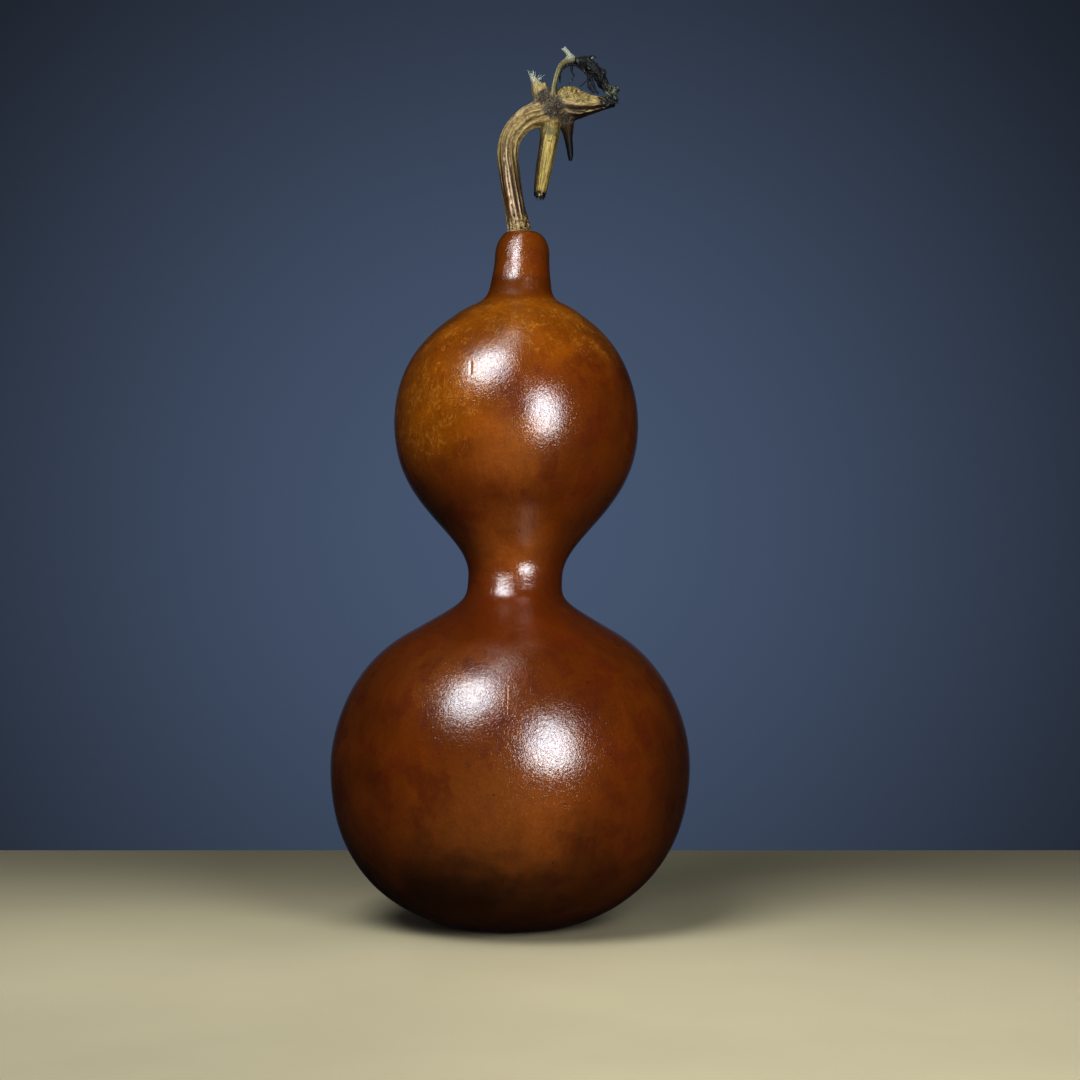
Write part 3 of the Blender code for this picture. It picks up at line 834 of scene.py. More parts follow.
def route_frames(route):
    """Directions along a route, and a side direction that turns as little as it can."""
    ahead = unit(np.gradient(route[:, :3], axis=0))
    side = np.zeros_like(ahead)
    side[0] = unit(np.cross(ahead[0], (0.13, 1.0, 0.21)))
    for index in range(1, len(ahead)):
        kept = side[index - 1] - ahead[index] * np.dot(side[index - 1], ahead[index])
        side[index] = unit(kept)
    return ahead, side, np.cross(ahead, side)


def tube(route, sides):
    """Places and faces of a closed round tube along a route."""
    _, side, up = route_frames(route)
    angles = np.arange(sides) * 2.0 * math.pi / sides
    rings = (side[:, None, :] * np.cos(angles)[None, :, None]
             + up[:, None, :] * np.sin(angles)[None, :, None]) * route[:, 3][:, None, None]
    places = (route[:, None, :3] + rings).reshape(-1, 3)
    faces = [tuple(reversed(range(sides)))]
    for ring in range(len(route) - 1):
        for index in range(sides):
            after = (index + 1) % sides
            low, high = ring * sides, (ring + 1) * sides
            faces.append((low + index, low + after, high + after, high + index))
    faces.append(tuple(range(len(places) - sides, len(places))))
    return places, faces


def join_shapes(shapes):
    """One list of places and faces from several."""
    places, faces, count = [], [], 0
    for shape_places, shape_faces in shapes:
        places.append(np.asarray(shape_places))
        faces += [tuple(index + count for index in face) for face in shape_faces]
        count += len(shape_places)
    return np.concatenate(places), faces


def ball(middle, radii, rings=14):
    """Places and faces of a round swelling."""
    angles = np.linspace(0.0, math.pi, rings)[1:-1]
    profile = np.column_stack([np.sin(angles), -np.cos(angles)])
    places, faces = turned_grid(profile, rings * 2)
    places[0, 2], places[-1, 2] = -1.0, 1.0
    return places * radii + middle, faces


def limb_reading(limb, route, frames, places):
    """For each place: distance outside the limb, the way out, and grain coordinates and rib."""
    ahead, side, up = frames
    starts, ends = route[:-1], route[1:]
    step = ends[:, :3] - starts[:, :3]
    length = np.linalg.norm(step, axis=1)
    along_start = np.concatenate(([0.0], np.cumsum(length)))
    best = np.full(len(places), np.inf)
    share = np.zeros(len(places))
    segment = np.zeros(len(places), int)
    for index in range(len(step)):
        t = np.clip((places - starts[index, :3]) @ step[index] / length[index] ** 2, 0.0, 1.0)
        apart = np.linalg.norm(places - starts[index, :3] - t[:, None] * step[index], axis=1)
        closer = apart < best
        best[closer], share[closer], segment[closer] = apart[closer], t[closer], index
    t = share[:, None]
    foot = starts[segment, :3] + t * step[segment]
    radius = starts[segment, 3] + share * (ends[segment, 3] - starts[segment, 3])
    tangent = unit(ahead[segment] * (1.0 - t) + ahead[segment + 1] * t)
    sideways = side[segment] * (1.0 - t) + side[segment + 1] * t
    upward = up[segment] * (1.0 - t) + up[segment + 1] * t
    offset = places - foot
    beyond = np.einsum("ij,ij->i", offset, tangent)
    radial = offset - beyond[:, None] * tangent
    spread = np.linalg.norm(radial, axis=1)
    along = along_start[segment] + share * length[segment]
    angle = np.arctan2(np.einsum("ij,ij->i", radial, upward), np.einsum("ij,ij->i", radial, sideways))
    total = along_start[-1]
    wander = 0.35 * np.sin(along * 0.21 + 1.3) + 0.2 * np.sin(along * 0.47)
    turned = angle + limb.twist * along / 10.0 + wander / max(limb.ribs, 1)
    crest = 0.5 + 0.5 * np.cos(limb.ribs * turned + 1.3 * np.sin(2.0 * turned + along * 0.06))
    uneven = (0.72 + 0.30 * np.cos(turned * 3.0 + 0.9 + along * 0.04)
              + 0.18 * np.cos(turned * 2.0 - along * 0.15))
    rib = (2.0 * crest ** 1.3 - 1.0) * uneven
    radius = radius * (1.0 + limb.rib_depth * rib)
    ragged = limb.ragged * (0.6 * np.cos(3.0 * angle + 1.0) + 0.4 * np.cos(7.0 * angle))
    past_end = np.where(along > total - 1e-6, beyond + np.maximum(ragged, -0.2), -np.inf)
    past_start = np.where(along < 1e-6, -beyond, -np.inf)
    outside = spread - radius
    way_out = unit(radial)
    for past, direction in ((past_end, tangent), (past_start, -tangent)):
        cap = past > outside
        outside = np.where(cap, past, outside)
        way_out = np.where(cap[:, None], direction, way_out)
    grain = np.column_stack([radius * np.cos(turned), radius * np.sin(turned), along])
    return outside, way_out, grain, rib


def swelling_reading(swelling, places):
    """The same reading for a round swelling, whose grain runs anyhow."""
    offset = places - np.array(swelling.middle)
    radii = np.array(swelling.radii)
    size = np.linalg.norm(offset / radii, axis=1)
    bumps = noise_at(places, 0.55, 2.2) + 0.5 * noise_at(places, 1.2, 6.1)
    outside = (size - 1.0) * radii.mean() - swelling.lumps * bumps
    return outside, unit(offset / radii ** 2), places, bumps * 0.5


def stem_readings(places, routes):
    """Readings of every limb and swelling of the stem at each place."""
    readings = {name: limb_reading(LIMBS[name], route, frames, places)
                for name, (route, frames) in routes.items()}
    for name, swelling in SWELLINGS.items():
        readings[name] = swelling_reading(swelling, places)
    return readings


def fused(readings, fillet):
    """The distance outside the grown-together stem, the way out, and each limb's share."""
    outsides = np.stack([reading[0] for reading in readings.values()])
    lowest = outsides.min(axis=0)
    weights = np.exp(-(outsides - lowest) / fillet)
    total = weights.sum(axis=0)
    distance = lowest - fillet * np.log(total)
    shares = weights / total
    ways = np.stack([reading[1] for reading in readings.values()])
    return distance, unit(np.einsum("ij,ijk->jk", shares, ways)), shares


def owned(readings, shares, field):
    """One field of the readings, from the limb that owns each place."""
    owner = shares.argmax(axis=0)
    stack = np.stack([reading[field] for reading in readings.values()])
    return stack[owner, np.arange(len(owner))]


def along_grain(grain):
    """Long streaks and finer strands along the grain of the stem, each about -1 to 1."""
    streak = 2.2 * noise_at(grain * (1.25, 1.25, 0.05), 1.0, 3.7)
    strand = 2.2 * noise_at(grain * (3.0, 3.0, 0.12), 1.0, 9.4)
    return streak, strand


def rise(values, low, high):
    """0 below the first level and 1 above the second, eased between."""
    share = np.clip((values - low) / (high - low), 0.0, 1.0)
    return share * share * (3.0 - 2.0 * share)


def crust_at(places):
    """How much dark crust lies at each place, 0 to 1."""
    crust = np.zeros(len(places))
    rough = 0.9 * noise_at(places, 0.8, 4.4)
    for middle, reach in CRUST_PATCHES:
        apart = np.linalg.norm(places - np.array(middle), axis=1) + rough
        crust = np.maximum(crust, np.clip((reach - apart) / 1.1, 0.0, 1.0))
    return crust


def stem_mesh(settings):
    """All limbs of the stem grown together in one mesh, with ribs, crust and torn ends."""
    routes = {}
    shapes = []
    for name, limb in LIMBS.items():
        route = smooth_route(limb.stops, LIMB_STEP)
        routes[name] = (route, route_frames(route))
        shapes.append(tube(route, LIMB_SIDES))
    for swelling in SWELLINGS.values():
        shapes.append(ball(np.array(swelling.middle), np.array(swelling.radii)))
    places, faces = join_shapes(shapes)
    rough = bpy.data.meshes.new("stem_rough")
    rough.from_pydata(places.tolist(), [], faces)
    item = new_object("stem_rough", rough)
    remesh = item.modifiers.new("grow_together", "REMESH")
    remesh.mode = "VOXEL"
    remesh.voxel_size = settings.voxel / MM
    remesh.use_smooth_shade = True
    mesh = evaluated_mesh(item)
    bpy.data.objects.remove(item, do_unlink=True)
    places = vertex_values(mesh, "co")
    fillet = settings.fillet / MM
    for _ in range(3):
        distance, way_out, _ = fused(stem_readings(places, routes), fillet)
        places = places - way_out * np.clip(distance, -0.6, 0.6)[:, None]
    readings = stem_readings(places, routes)
    _, way_out, shares = fused(readings, fillet)
    crust = crust_at(places)
    places = places + way_out * stem_relief(places, readings, shares, crust)[:, None]
    mesh.vertices.foreach_set("co", (places * MM).ravel())
    mesh.update()
    mesh.shade_smooth()
    mesh.name = "stem_wood"
    tint_stem(mesh, places, readings, shares, crust, settings)
    return mesh


def stem_relief(places, readings, shares, crust):
    """Height of the fibres, the crust, the crackled collar and the knob's roughness."""
    names = list(readings)
    ridges = np.array([getattr(LIMBS.get(name), "ridge", 0.0) for name in names])
    fibrous = (shares.T @ ridges) * (1.0 - crust)
    streak, strand = along_grain(owned(readings, shares, 2))
    lumps = 0.50 * noise_at(places, 0.8, 7.7) + 0.30 * np.abs(noise_at(places, 1.7, 1.9))
    foot = (1.0 - rise(readings["fruit_stalk"][2][:, 2], 3.0, 7.5)) * shares[names.index("fruit_stalk")]
    knobbly = shares[names.index("pale_knob")] + shares[names.index("knob_tail")]
    rough = 0.5 * noise_at(places, 1.5, 4.9) + 0.3 * noise_at(places, 2.8, 0.7)
    return (fibrous * (0.12 * streak + 0.055 * strand) + crust * lumps
            + (0.55 * foot + 0.6 * knobbly) * rough * (1.0 - crust) + 0.04 * noise_at(places, 2.4, 9.2))


def tint_stem(mesh, places, readings, shares, crust, settings):
    """Keep the colour and the grain of the stem on its vertices."""
    names = list(readings)
    grain = owned(readings, shares, 2)
    rib = owned(readings, shares, 3)
    everything = {**LIMBS, **SWELLINGS}
    tints = np.array([list(getattr(settings, everything[name].tint)) for name in names])
    ridges = np.array([getattr(everything[name], "ridge", 0.0) for name in names])
    tint = np.einsum("ij,ik->jk", shares, tints)
    ridged = (shares.T @ ridges) * (1.0 - crust)
    normals = vertex_values(mesh, "normal")
    streak, strand = along_grain(grain)
    blotch = 2.0 * noise_at(places, 0.45, 2.9)
    mottle = 2.0 * noise_at(places, 1.3, 5.5)
    level = 0.75 * rib + 0.75 * streak + 0.45 * strand

    def paint(cover, colour):
        """Lay a colour of the settings over the tint where the cover says."""
        cover = np.clip(cover, 0.0, 1.0)[:, None]
        tint[:] = tint * (1.0 - cover) + np.array(list(getattr(settings, colour))) * cover

    def on(name):
        """How much of a limb each place belongs to."""
        return shares[names.index(name)]

    def past(name, low, high):
        """0 to 1 between two distances along a limb."""
        return rise(readings[name][2][:, 2], low, high) * on(name)

    low_stalk = on("fruit_stalk") - past("fruit_stalk", 13.0, 29.0)
    bend = past("fruit_stalk", 22.0, 31.0)
    paint(low_stalk * 0.9, "bark")
    paint(bend * rise(-mottle - 0.6 * blotch, 0.0, 0.9) * 0.6, "bark")
    paint(bend * rise(mottle + blotch, 0.1, 0.9) * 0.6, "gold")
    # The grooves between the ribs darkened: partly their own darker colour and partly painted shade in the
    # hollows.
    shaded_groove = rise(-level, 0.05, 0.75) * ridged
    paint(shaded_groove * (0.55 + 0.4 * low_stalk - 0.3 * bend), "groove_and_shade")
    pale = rise(level, 0.25, 0.95) * ridged * (0.62 + 0.3 * low_stalk)
    pale *= 0.75 + 0.25 * rise(blotch, -0.5, 0.3)
    paint(pale * (1.0 - 0.6 * bend + 0.9 * on("vine_stub")), "ridge")
    # Painted highlight: a pale crest band along the lit front-left of the stalk, partly the stalk's worn
    # pale ridge.
    stalk_x, _, stalk_z, _ = zip(*STALK_STOPS)
    middle = np.interp(places[:, 2], stalk_z, stalk_x)
    aside = np.abs(places[:, 0] - middle + 0.45 + 0.25 * blotch)
    crest = (1.0 - rise(aside, 0.50, 1.20)) * rise(-normals[:, 1], 0.0, 0.4) * (on("fruit_stalk") - bend)
    paint(crest * rise(strand + 0.6 * mottle, -1.0, 0.1), "ridge")
    # Painted shade: the right side of the stalk, turned away from the upper left light, darkened.
    painted_right_shade = rise(normals[:, 0] + 0.20 * streak, 0.25, 0.85) * (on("fruit_stalk") - bend)
    paint(painted_right_shade * 0.72, "groove_and_shade")
    foot = on("fruit_stalk") - past("fruit_stalk", 2.5, 7.0)
    paint(foot * 0.75 * rise(mottle, -0.25, 0.35), "straw")
    paint(foot * 0.55 * rise(-mottle, 0.05, 0.60), "groove_and_shade")
    knobbly = on("pale_knob") + on("knob_tail")
    paint(knobbly * rise(mottle, 0.15, 0.75) * 0.75, "leaf_stalk")
    paint(knobbly * rise(-mottle - 0.6 * blotch, 0.15, 0.95) * 0.5, "bark")
    # Painted shade: the vine's underside red-brown, and near black where it faces straight down.
    under = rise(-normals[:, 2] - 0.12 * streak, 0.06, 0.44)
    paint(on("vine_stub") * under, "underside")
    paint(on("vine_stub") * rise(-normals[:, 2], 0.62, 0.98) * 0.8, "dark")
    leaf = on("leaf_stalk")
    along = readings["leaf_stalk"][2][:, 2]
    # Painted shadow of the arch: the top of the leaf stalk mottled darker with bark brown.
    upper = leaf * (1.0 - rise(along, 3.0, 8.0))
    paint(upper * rise(mottle + 0.5 * blotch, -0.6, 0.5) * 0.75, "bark")
    paint(leaf * rise(strand + 0.5 * streak, 0.3, 1.0) * 0.5, "gold")
    paint(leaf * rise(-strand - 0.8 * streak, 0.2, 1.2) * 0.6, "bark")
    # Painted shadow cast by the arch and the knot on the left side of the leaf stalk.
    paint(leaf * rise(-normals[:, 0] + 0.10 * streak, 0.28, 0.58) * 0.93, "groove_and_shade")
    paint(leaf * rise(normals[:, 0] + 0.15 * strand, 0.70, 0.95) * 0.7, "underside")
    joint = leaf * np.exp(-((along - 5.0) / 1.7) ** 2)
    paint(joint * (0.8 + 0.3 * mottle), "olive")
    paint(leaf * np.exp(-((along - 5.9 - 0.3 * mottle) / 0.28) ** 2) * 0.42, "groove_and_shade")
    nick = leaf * np.exp(-((along - 8.3) / 0.25) ** 2) * np.exp(-((places[:, 0] - 12.4) / 0.8) ** 2)
    paint(nick * 0.8, "groove_and_shade")
    withered = past("leaf_stalk", 22.6, 24.6) * (1.1 + mottle) + past("leaf_stalk", 25.2, 25.6)
    paint(withered, "dark")
    paint(on("shoot_stub") * 0.75, "underside")
    paint((on("shoot_stub") - past("shoot_stub", 3.0, 7.0)) * 0.5, "bark")
    paint(past("shoot_stub", 5.5, 10.5), "dark")
    withered = past("vine_stub", 15.6, 18.2) * (1.3 + mottle) + past("vine_stub", 19.5, 20.5)
    paint(withered, "dark")
    paint(past("vine_stub", 16.5, 18.5) * rise(mottle + strand, 1.0, 1.6) * 0.4, "bleached")
    paint(past("frayed_stub", 5.0, 8.5) * 0.7, "bleached")
    arc = on("straw_arc")
    # Painted shade: the thin arc darker on both sides, where it turns away from the front.
    paint(arc * rise(np.abs(normals[:, 0] + 0.25 * streak), 0.55, 0.85) * 0.8, "groove_and_shade")
    paint(arc * rise(strand, 0.2, 0.8) * 0.5, "bleached")
    paint(crust * 0.95, "crust")
    paint(crust * rise(mottle, 0.3, 0.9) * 0.5, "bark")
    paint(crust * rise(-mottle, 0.1, 0.8) * 0.55, "dark")
    add_attribute(mesh, "tint", "FLOAT_COLOR", np.column_stack([tint, np.ones(len(tint))]))
    add_attribute(mesh, "grain", "FLOAT_VECTOR", grain)
    add_attribute(mesh, "crust", "FLOAT", crust)


def stem_material(settings):
    """Dry ribbed stalk: the colours kept on its vertices, with fine fibres over them."""
    material, nodes, shader = new_material("dry_stem")

    def read(name, output):
        """A value kept on the vertices."""
        return nodes.add("ShaderNodeAttribute", attribute_name=name).outputs[output]

    crust = read("crust", "Fac")
    grain = nodes.scaled(read("grain", "Vector"), (5.0, 5.0, 0.30))
    strands = nodes.noise(1.0, 4.0, 0.65, place=grain)
    specks = nodes.noise(3.2, 2.0, 0.7)
    shade = nodes.times(nodes.ease(strands, 0.32, 0.68, 0.44, 0.95),
                        nodes.ease(nodes.noise(0.45, 3.0, 0.6), 0.25, 0.75, 0.86, 1.12),
                        nodes.ease(specks, 0.30, 0.42, 0.55, 1.0))
    colour = nodes.shaded(read("tint", "Color"), shade)
    dust = nodes.times(crust, nodes.ease(specks, 0.58, 0.66), 0.5)
    nodes.feed(shader["Base Color"], nodes.blend(dust, colour, settings.bleached))
    nodes.feed(shader["Roughness"], nodes.ease(crust, 0.0, 1.0, 0.48, 0.88))
    shader["Specular IOR Level"].default_value = 0.25
    relief = nodes.plus(strands, nodes.times(specks, 0.4))
    nodes.feed(shader["Normal"], nodes.bump(relief, 0.10 * MM, 0.9))
    return material


def scattered(draw, high=1.0):
    """A random direction and length."""
    return np.array([draw.uniform(-1, 1), draw.uniform(-1, 1), draw.uniform(-high, high)])


def hair_route(root, way, length, radius, bend, draw, points=5):
    """A short curved hair that thins to its tip."""
    route = []
    sway = unit(scattered(draw))
    for step in range(points):
        share = step / (points - 1)
        place = root + way * (length * share) + sway * (bend * length * share * share)
        route.append((*place, radius * (1.0 - 0.85 * share)))
    return np.array(route)


def hair_mesh(name, routes, sides=3):
    """One mesh of many thin tubes."""
    places, faces = join_shapes([tube(route, sides) for route in routes])
    return mesh_from(name, places, faces)


def knot_hairs(stem, settings):
    """Short hairs that stand on the dark crust of the vine knot."""
    draw = random.Random(11)
    mesh = stem.data
    crust = np.empty(len(mesh.vertices))
    mesh.attributes["crust"].data.foreach_get("value", crust)
    places = vertex_values(mesh, "co") / MM
    normals = vertex_values(mesh, "normal")
    chosen = np.flatnonzero(crust > HAIRY_CRUST).tolist()
    draw.shuffle(chosen)
    routes = []
    for index in chosen[:settings.hairs]:
        way = unit(normals[index] + 0.7 * scattered(draw))
        length = settings.hair_length / MM * draw.uniform(0.35, 1.0)
        routes.append(hair_route(places[index] - way * 0.1, way, length, draw.uniform(0.03, 0.06),
                                 draw.uniform(0.1, 0.6), draw))
    return hair_mesh("knot_hairs", routes)


# Torn and withered ends: root, way, count, longest, thickest, how far the roots stray and how
# far the ways do. Draws: the stray's height, then the limits of length, thickness and bend.
FRAYED_ENDS = (
    ((7.3, 8.2, 258.6), (-0.22, -0.1, 1.0), 15, 3.3, 0.20, 0.35, 0.34),
    ((16.8, 6.9, 267.6), (-0.6, 0.0, 0.8), 6, 0.9, 0.14, 0.35, 0.35),
    ((8.1, 8.0, 257.9), (0.75, -0.2, 1.0), 8, 3.6, 0.11, 0.35, 0.55),
    ((25.2, 7.6, 264.9), (0.3, -0.3, 1.0), 5, 1.5, 0.09, 0.35, 0.8),
)
FRAYED_DRAWS = (0.4, (0.5, 1.0), (0.6, 1.1), (-0.25, 0.35))
HOOKED_ENDS = (
    ((9.5, 6.6, 222.5), (-0.2, 0.0, -1.0), 30, 1.3, 0.20, 1.05, 0.8),
    ((18.9, 10.6, 234.6), (0.1, 0.0, -1.0), 8, 0.9, 0.10, 0.375, 0.8),
    ((32.3, 10.4, 252.3), (1.0, 0.1, -0.1), 28, 1.3, 0.18, 0.975, 0.8),
    ((8.9, 8.3, 257.0), (0.5, -0.2, 1.0), 4, 3.2, 0.09, 0.3, 0.8),
)
HOOKED_DRAWS = (1.0, (0.4, 1.0), (0.5, 1.0), (-0.6, 0.8))


def torn_ends(name, seed, ends, draws):
    """Torn fibres or small hooks at several ends of the stem, as one mesh."""
    draw = random.Random(seed)
    high, lengths, thicknesses, bends = draws
    routes = []
    for root, way, count, longest, thickest, stray, spread in ends:
        for _ in range(count):
            scatter = scattered(draw, high)
            heading = unit(unit(np.array(way)) + scatter * spread)
            length = longest * draw.uniform(*lengths)
            thick = thickest * draw.uniform(*thicknesses)
            routes.append(hair_route(np.array(root) + scatter * stray, heading, length, thick,
                                     draw.uniform(*bends), draw, 6))
    return hair_mesh(name, routes, 5)


def plain_material(name, colour, shade_low, roughness, pale=None, dusty_at=None):
    """A dry fibrous finish of one colour with darker and dusty specks, more of them at a point."""
    material, nodes, shader = new_material(name)
    grain = nodes.noise(1.3, 4.0, 0.65, 0.8)
    tone = nodes.shaded(colour, nodes.ease(grain, 0.30, 0.70, shade_low, 1.35))
    if pale is not None:
        dust = nodes.times(nodes.ease(nodes.noise(0.75, 5.0, 0.75), 0.56, 0.68), 0.6)
        tone = nodes.blend(dust, tone, pale)
    if dusty_at is not None:
        more = nodes.times(nodes.ease(nodes.noise(1.1, 3.0, 0.7), 0.44, 0.58),
                           nodes.near(dusty_at, 1.2, 3.8), 0.75)
        tone = nodes.blend(more, tone, pale)
    nodes.feed(shader["Base Color"], tone)
    nodes.feed(shader["Roughness"], nodes.ease(grain, 0.3, 0.7, roughness - 0.12, roughness))
    nodes.feed(shader["Normal"], nodes.bump(grain, 0.08 * MM, 0.8))
    return material


def rim_mesh():
    """The thin cracked rim of pale cork where the stalk meets the gourd."""
    steps = 72
    route = []
    for step in range(steps + 1):
        angle = 2.0 * math.pi * step / steps
        reach = 3.55 + 0.12 * math.sin(5.0 * angle + 0.4) + 0.07 * math.sin(13.0 * angle)
        height = BODY_HEIGHT + 0.12 + 0.10 * math.sin(3.0 * angle) + 0.08 * math.sin(8.0 * angle + 1.0)
        route.append((STALK_CENTRE[0] + reach * math.cos(angle), STALK_CENTRE[1] + reach * math.sin(angle),
                      height, 0.20 + 0.05 * math.sin(9.0 * angle)))
    places, faces = tube(np.array(route), 8)
    return mesh_from("stalk_rim", places, faces)


def wound_strand(core, frames, draw, radius):
    """A strand that winds along the core of the tendril at a wavering distance."""
    _, side, up = frames
    phase, turns = draw.uniform(0.0, 2.0 * math.pi), draw.uniform(-1.3, 1.9)
    begin = draw.uniform(0.0, 0.35)
    finish = draw.uniform(0.7, 1.0)
    count = len(core)
    route = []
    for index in range(int(begin * count), max(int(finish * count), int(begin * count) + 8)):
        if index >= count:
            break
        share = index / (count - 1)
        angle = phase + 2.0 * math.pi * turns * share + 0.6 * math.sin(9.0 * share + phase)
        reach = core[index, 3] * (0.80 + 0.28 * math.sin(7.0 * share + 2.0 * phase))
        place = core[index, :3] + (side[index] * math.cos(angle) + up[index] * math.sin(angle)) * reach
        thick = radius * (0.75 + 0.35 * math.sin(11.0 * share + phase))
        route.append((*place, thick))
    route = np.array(route)
    route[0, 3] *= 0.4
    route[-1, 3] *= 0.4
    return route


def curl(root, way, length, tightness, radius, draw, points=14):
    """A loose end that curls over on itself and thins out."""
    ahead = unit(np.array(way, float))
    axis = unit(np.cross(ahead, unit(scattered(draw))))
    place = np.array(root, float)
    route = []
    for step in range(points):
        share = step / (points - 1)
        route.append((*place, radius * (1.0 - 0.8 * share)))
        angle = tightness * share / points * 2.0
        ahead = unit(ahead * math.cos(angle) + np.cross(axis, ahead) * math.sin(angle))
        place = place + ahead * length / points
    return np.array(route)


def tendril_mesh(settings):
    """The withered tendril: wound strands, the thin inner ring, and curled loose ends."""
    draw = random.Random(5)
    core = smooth_route(TENDRIL_STOPS, TENDRIL_STEP)
    frames = route_frames(core)
    shapes = [tube(np.column_stack([core[:, :3], core[:, 3] * 0.92]), 22)]
    for _ in range(settings.strands):
        shapes.append(tube(wound_strand(core, frames, draw, draw.uniform(0.24, 0.50)), 8))
    for stops in (INNER_RING,) + THREADS + HOOKS:
        shapes.append(tube(smooth_route(stops, 0.35), 7))
    for _ in range(settings.wisps):
        index = draw.randrange(4, len(core) - 1)
        angle = draw.uniform(0.0, 2.0 * math.pi)
        way = frames[1][index] * math.cos(angle) + frames[2][index] * math.sin(angle)
        root = core[index, :3] + way * core[index, 3] * 0.7
        way = way * 0.8 + frames[0][index] * draw.uniform(-0.9, 0.9)
        shapes.append(tube(curl(root, way, draw.uniform(0.8, 2.2), draw.uniform(1.5, 5.0),
                                draw.uniform(0.07, 0.18), draw), 6))
    places, faces = join_shapes(shapes)
    way = unit(places - places.mean(axis=0))
    places = places + way * (0.30 * noise_at(places, 0.9, 3.3) + 0.16 * noise_at(places, 2.4, 1.1))[:, None]
    return mesh_from("withered_strands", places, faces)


def flake_shape(middle, along, across, length, width, fold, draw):
    """A small shrivelled scrap of leaf, as a bent and crumpled sheet."""
    lengthwise, crosswise = 9, 6
    along, across = unit(along), unit(across - along * np.dot(across, along))
    up = np.cross(along, across)
    seed = draw.uniform(0.0, 40.0)
    places = []
    for row in range(lengthwise):
        share = row / (lengthwise - 1) - 0.5
        half = width * (1.0 - 1.6 * share * share) * draw.uniform(0.8, 1.0) / 2.0
        for column in range(crosswise):
            spread = column / (crosswise - 1) * 2.0 - 1.0
            lift = fold * (spread * spread * 0.6 - share * share * 2.0)
            wave = 0.25 * noise.noise((share * 3.0 + seed, spread * 1.3, seed))
            sheet = along * (share * length) + across * (spread * half)
            places.append(middle + sheet + up * (lift + wave))
    faces = []
    for row in range(lengthwise - 1):
        for column in range(crosswise - 1):
            first = row * crosswise + column
            faces.append((first, first + 1, first + crosswise + 1, first + crosswise))
    return np.array(places), faces


def flakes_mesh(settings):
    """Scraps of leaf along the tendril, thicker towards the vine's cut end."""
    draw = random.Random(17)
    core = smooth_route(TENDRIL_STOPS, TENDRIL_STEP)
    ahead, side, up = route_frames(core)
    shapes = []
    for _ in range(settings.flakes):
        share = draw.uniform(0.01, 1.0) ** 0.45
        index = min(int(share * len(core)), len(core) - 1)
        angle = draw.uniform(0.0, 2.0 * math.pi)
        way = side[index] * math.cos(angle) + up[index] * math.sin(angle)
        middle = core[index, :3] + way * core[index, 3] * draw.uniform(0.75, 1.15)
        along = ahead[index] + 0.6 * scattered(draw)
        across = np.cross(along, way) + 0.4 * way
        shapes.append(flake_shape(middle, along, across, draw.uniform(1.4, 2.8), draw.uniform(0.7, 1.6),
                                  draw.uniform(0.3, 0.9), draw))
    places, faces = join_shapes(shapes)
    return mesh_from("leaf_scraps", places, faces)


class GOURD_OT_body(bpy.types.Operator):
    """Build the gourd's body with its lacquered skin"""

    bl_idname = "gourd.body"
    bl_label = "Gourd body"

    def execute(self, context):
        settings = context.scene.gourd_settings
        body = new_object("gourd_body", gourd_mesh(settings))
        finish_piece(body, skin_material(settings), "gourd")
        return {"FINISHED"}


class GOURD_OT_stem(bpy.types.Operator):
    """Build the ribbed stalk, the vine knot and the stubs, with their rim of cork"""

    bl_idname = "gourd.stem"
    bl_label = "Stem"

    def execute(self, context):
        settings = context.scene.stem_settings
        stem = new_object("stem_wood", stem_mesh(settings))
        finish_piece(stem, stem_material(settings), "stem")
        cork = plain_material("cork_rim", settings.straw, 0.30, 0.8)
        finish_piece(new_object("stalk_rim", rim_mesh()), cork, "stem")
        return {"FINISHED"}


class GOURD_OT_fibres(bpy.types.Operator):
    """Build the hairs on the vine knot and the fibres of its torn ends"""

    bl_idname = "gourd.fibres"
    bl_label = "Hairs and fibres"

    def execute(self, context):
        settings = context.scene.stem_settings
        stem = bpy.data.objects.get("stem_wood")
        if stem is None:
            raise RuntimeError("The stem has to be built before its hairs.")
        hairs = new_object("knot_hairs", knot_hairs(stem, settings))
        bristly = plain_material("hair", settings.crust, 0.5, 0.8, settings.bleached)
        finish_piece(hairs, bristly, "stem")
        fibres = new_object("frayed_fibres", torn_ends("frayed_fibres", 23, FRAYED_ENDS, FRAYED_DRAWS))
        pale = plain_material("bleached_fibre", settings.bleached, 0.45, 0.7)
        finish_piece(fibres, pale, "stem")
        hooks = new_object("dark_hooks", torn_ends("dark_hooks", 37, HOOKED_ENDS, HOOKED_DRAWS))
        charred = plain_material("charred_hook", settings.dark, 0.6, 0.7)
        finish_piece(hooks, charred, "stem")
        return {"FINISHED"}


class GOURD_OT_tendril(bpy.types.Operator):
    """Build the withered tendril with its strands, curls and scraps of leaf"""

    bl_idname = "gourd.tendril"
    bl_label = "Withered tendril"

    def execute(self, context):
        settings = context.scene.tendril_settings
        finish = plain_material("withered", settings.colour, 0.5, 0.72, settings.pale, CUT_END)
        strands = new_object("withered_strands", tendril_mesh(settings))
        finish_piece(strands, finish, "withered_tendril")
        scraps = new_object("leaf_scraps", flakes_mesh(settings))
        thick = scraps.modifiers.new("leaf_thickness", "SOLIDIFY")
        thick.thickness = 0.16 * MM
        thick.offset = 0.0
        dusty = plain_material("dusty_leaf", settings.scrap, 0.4, 0.8, settings.pale, CUT_END)
        finish_piece(scraps, dusty, "withered_tendril")
        return {"FINISHED"}


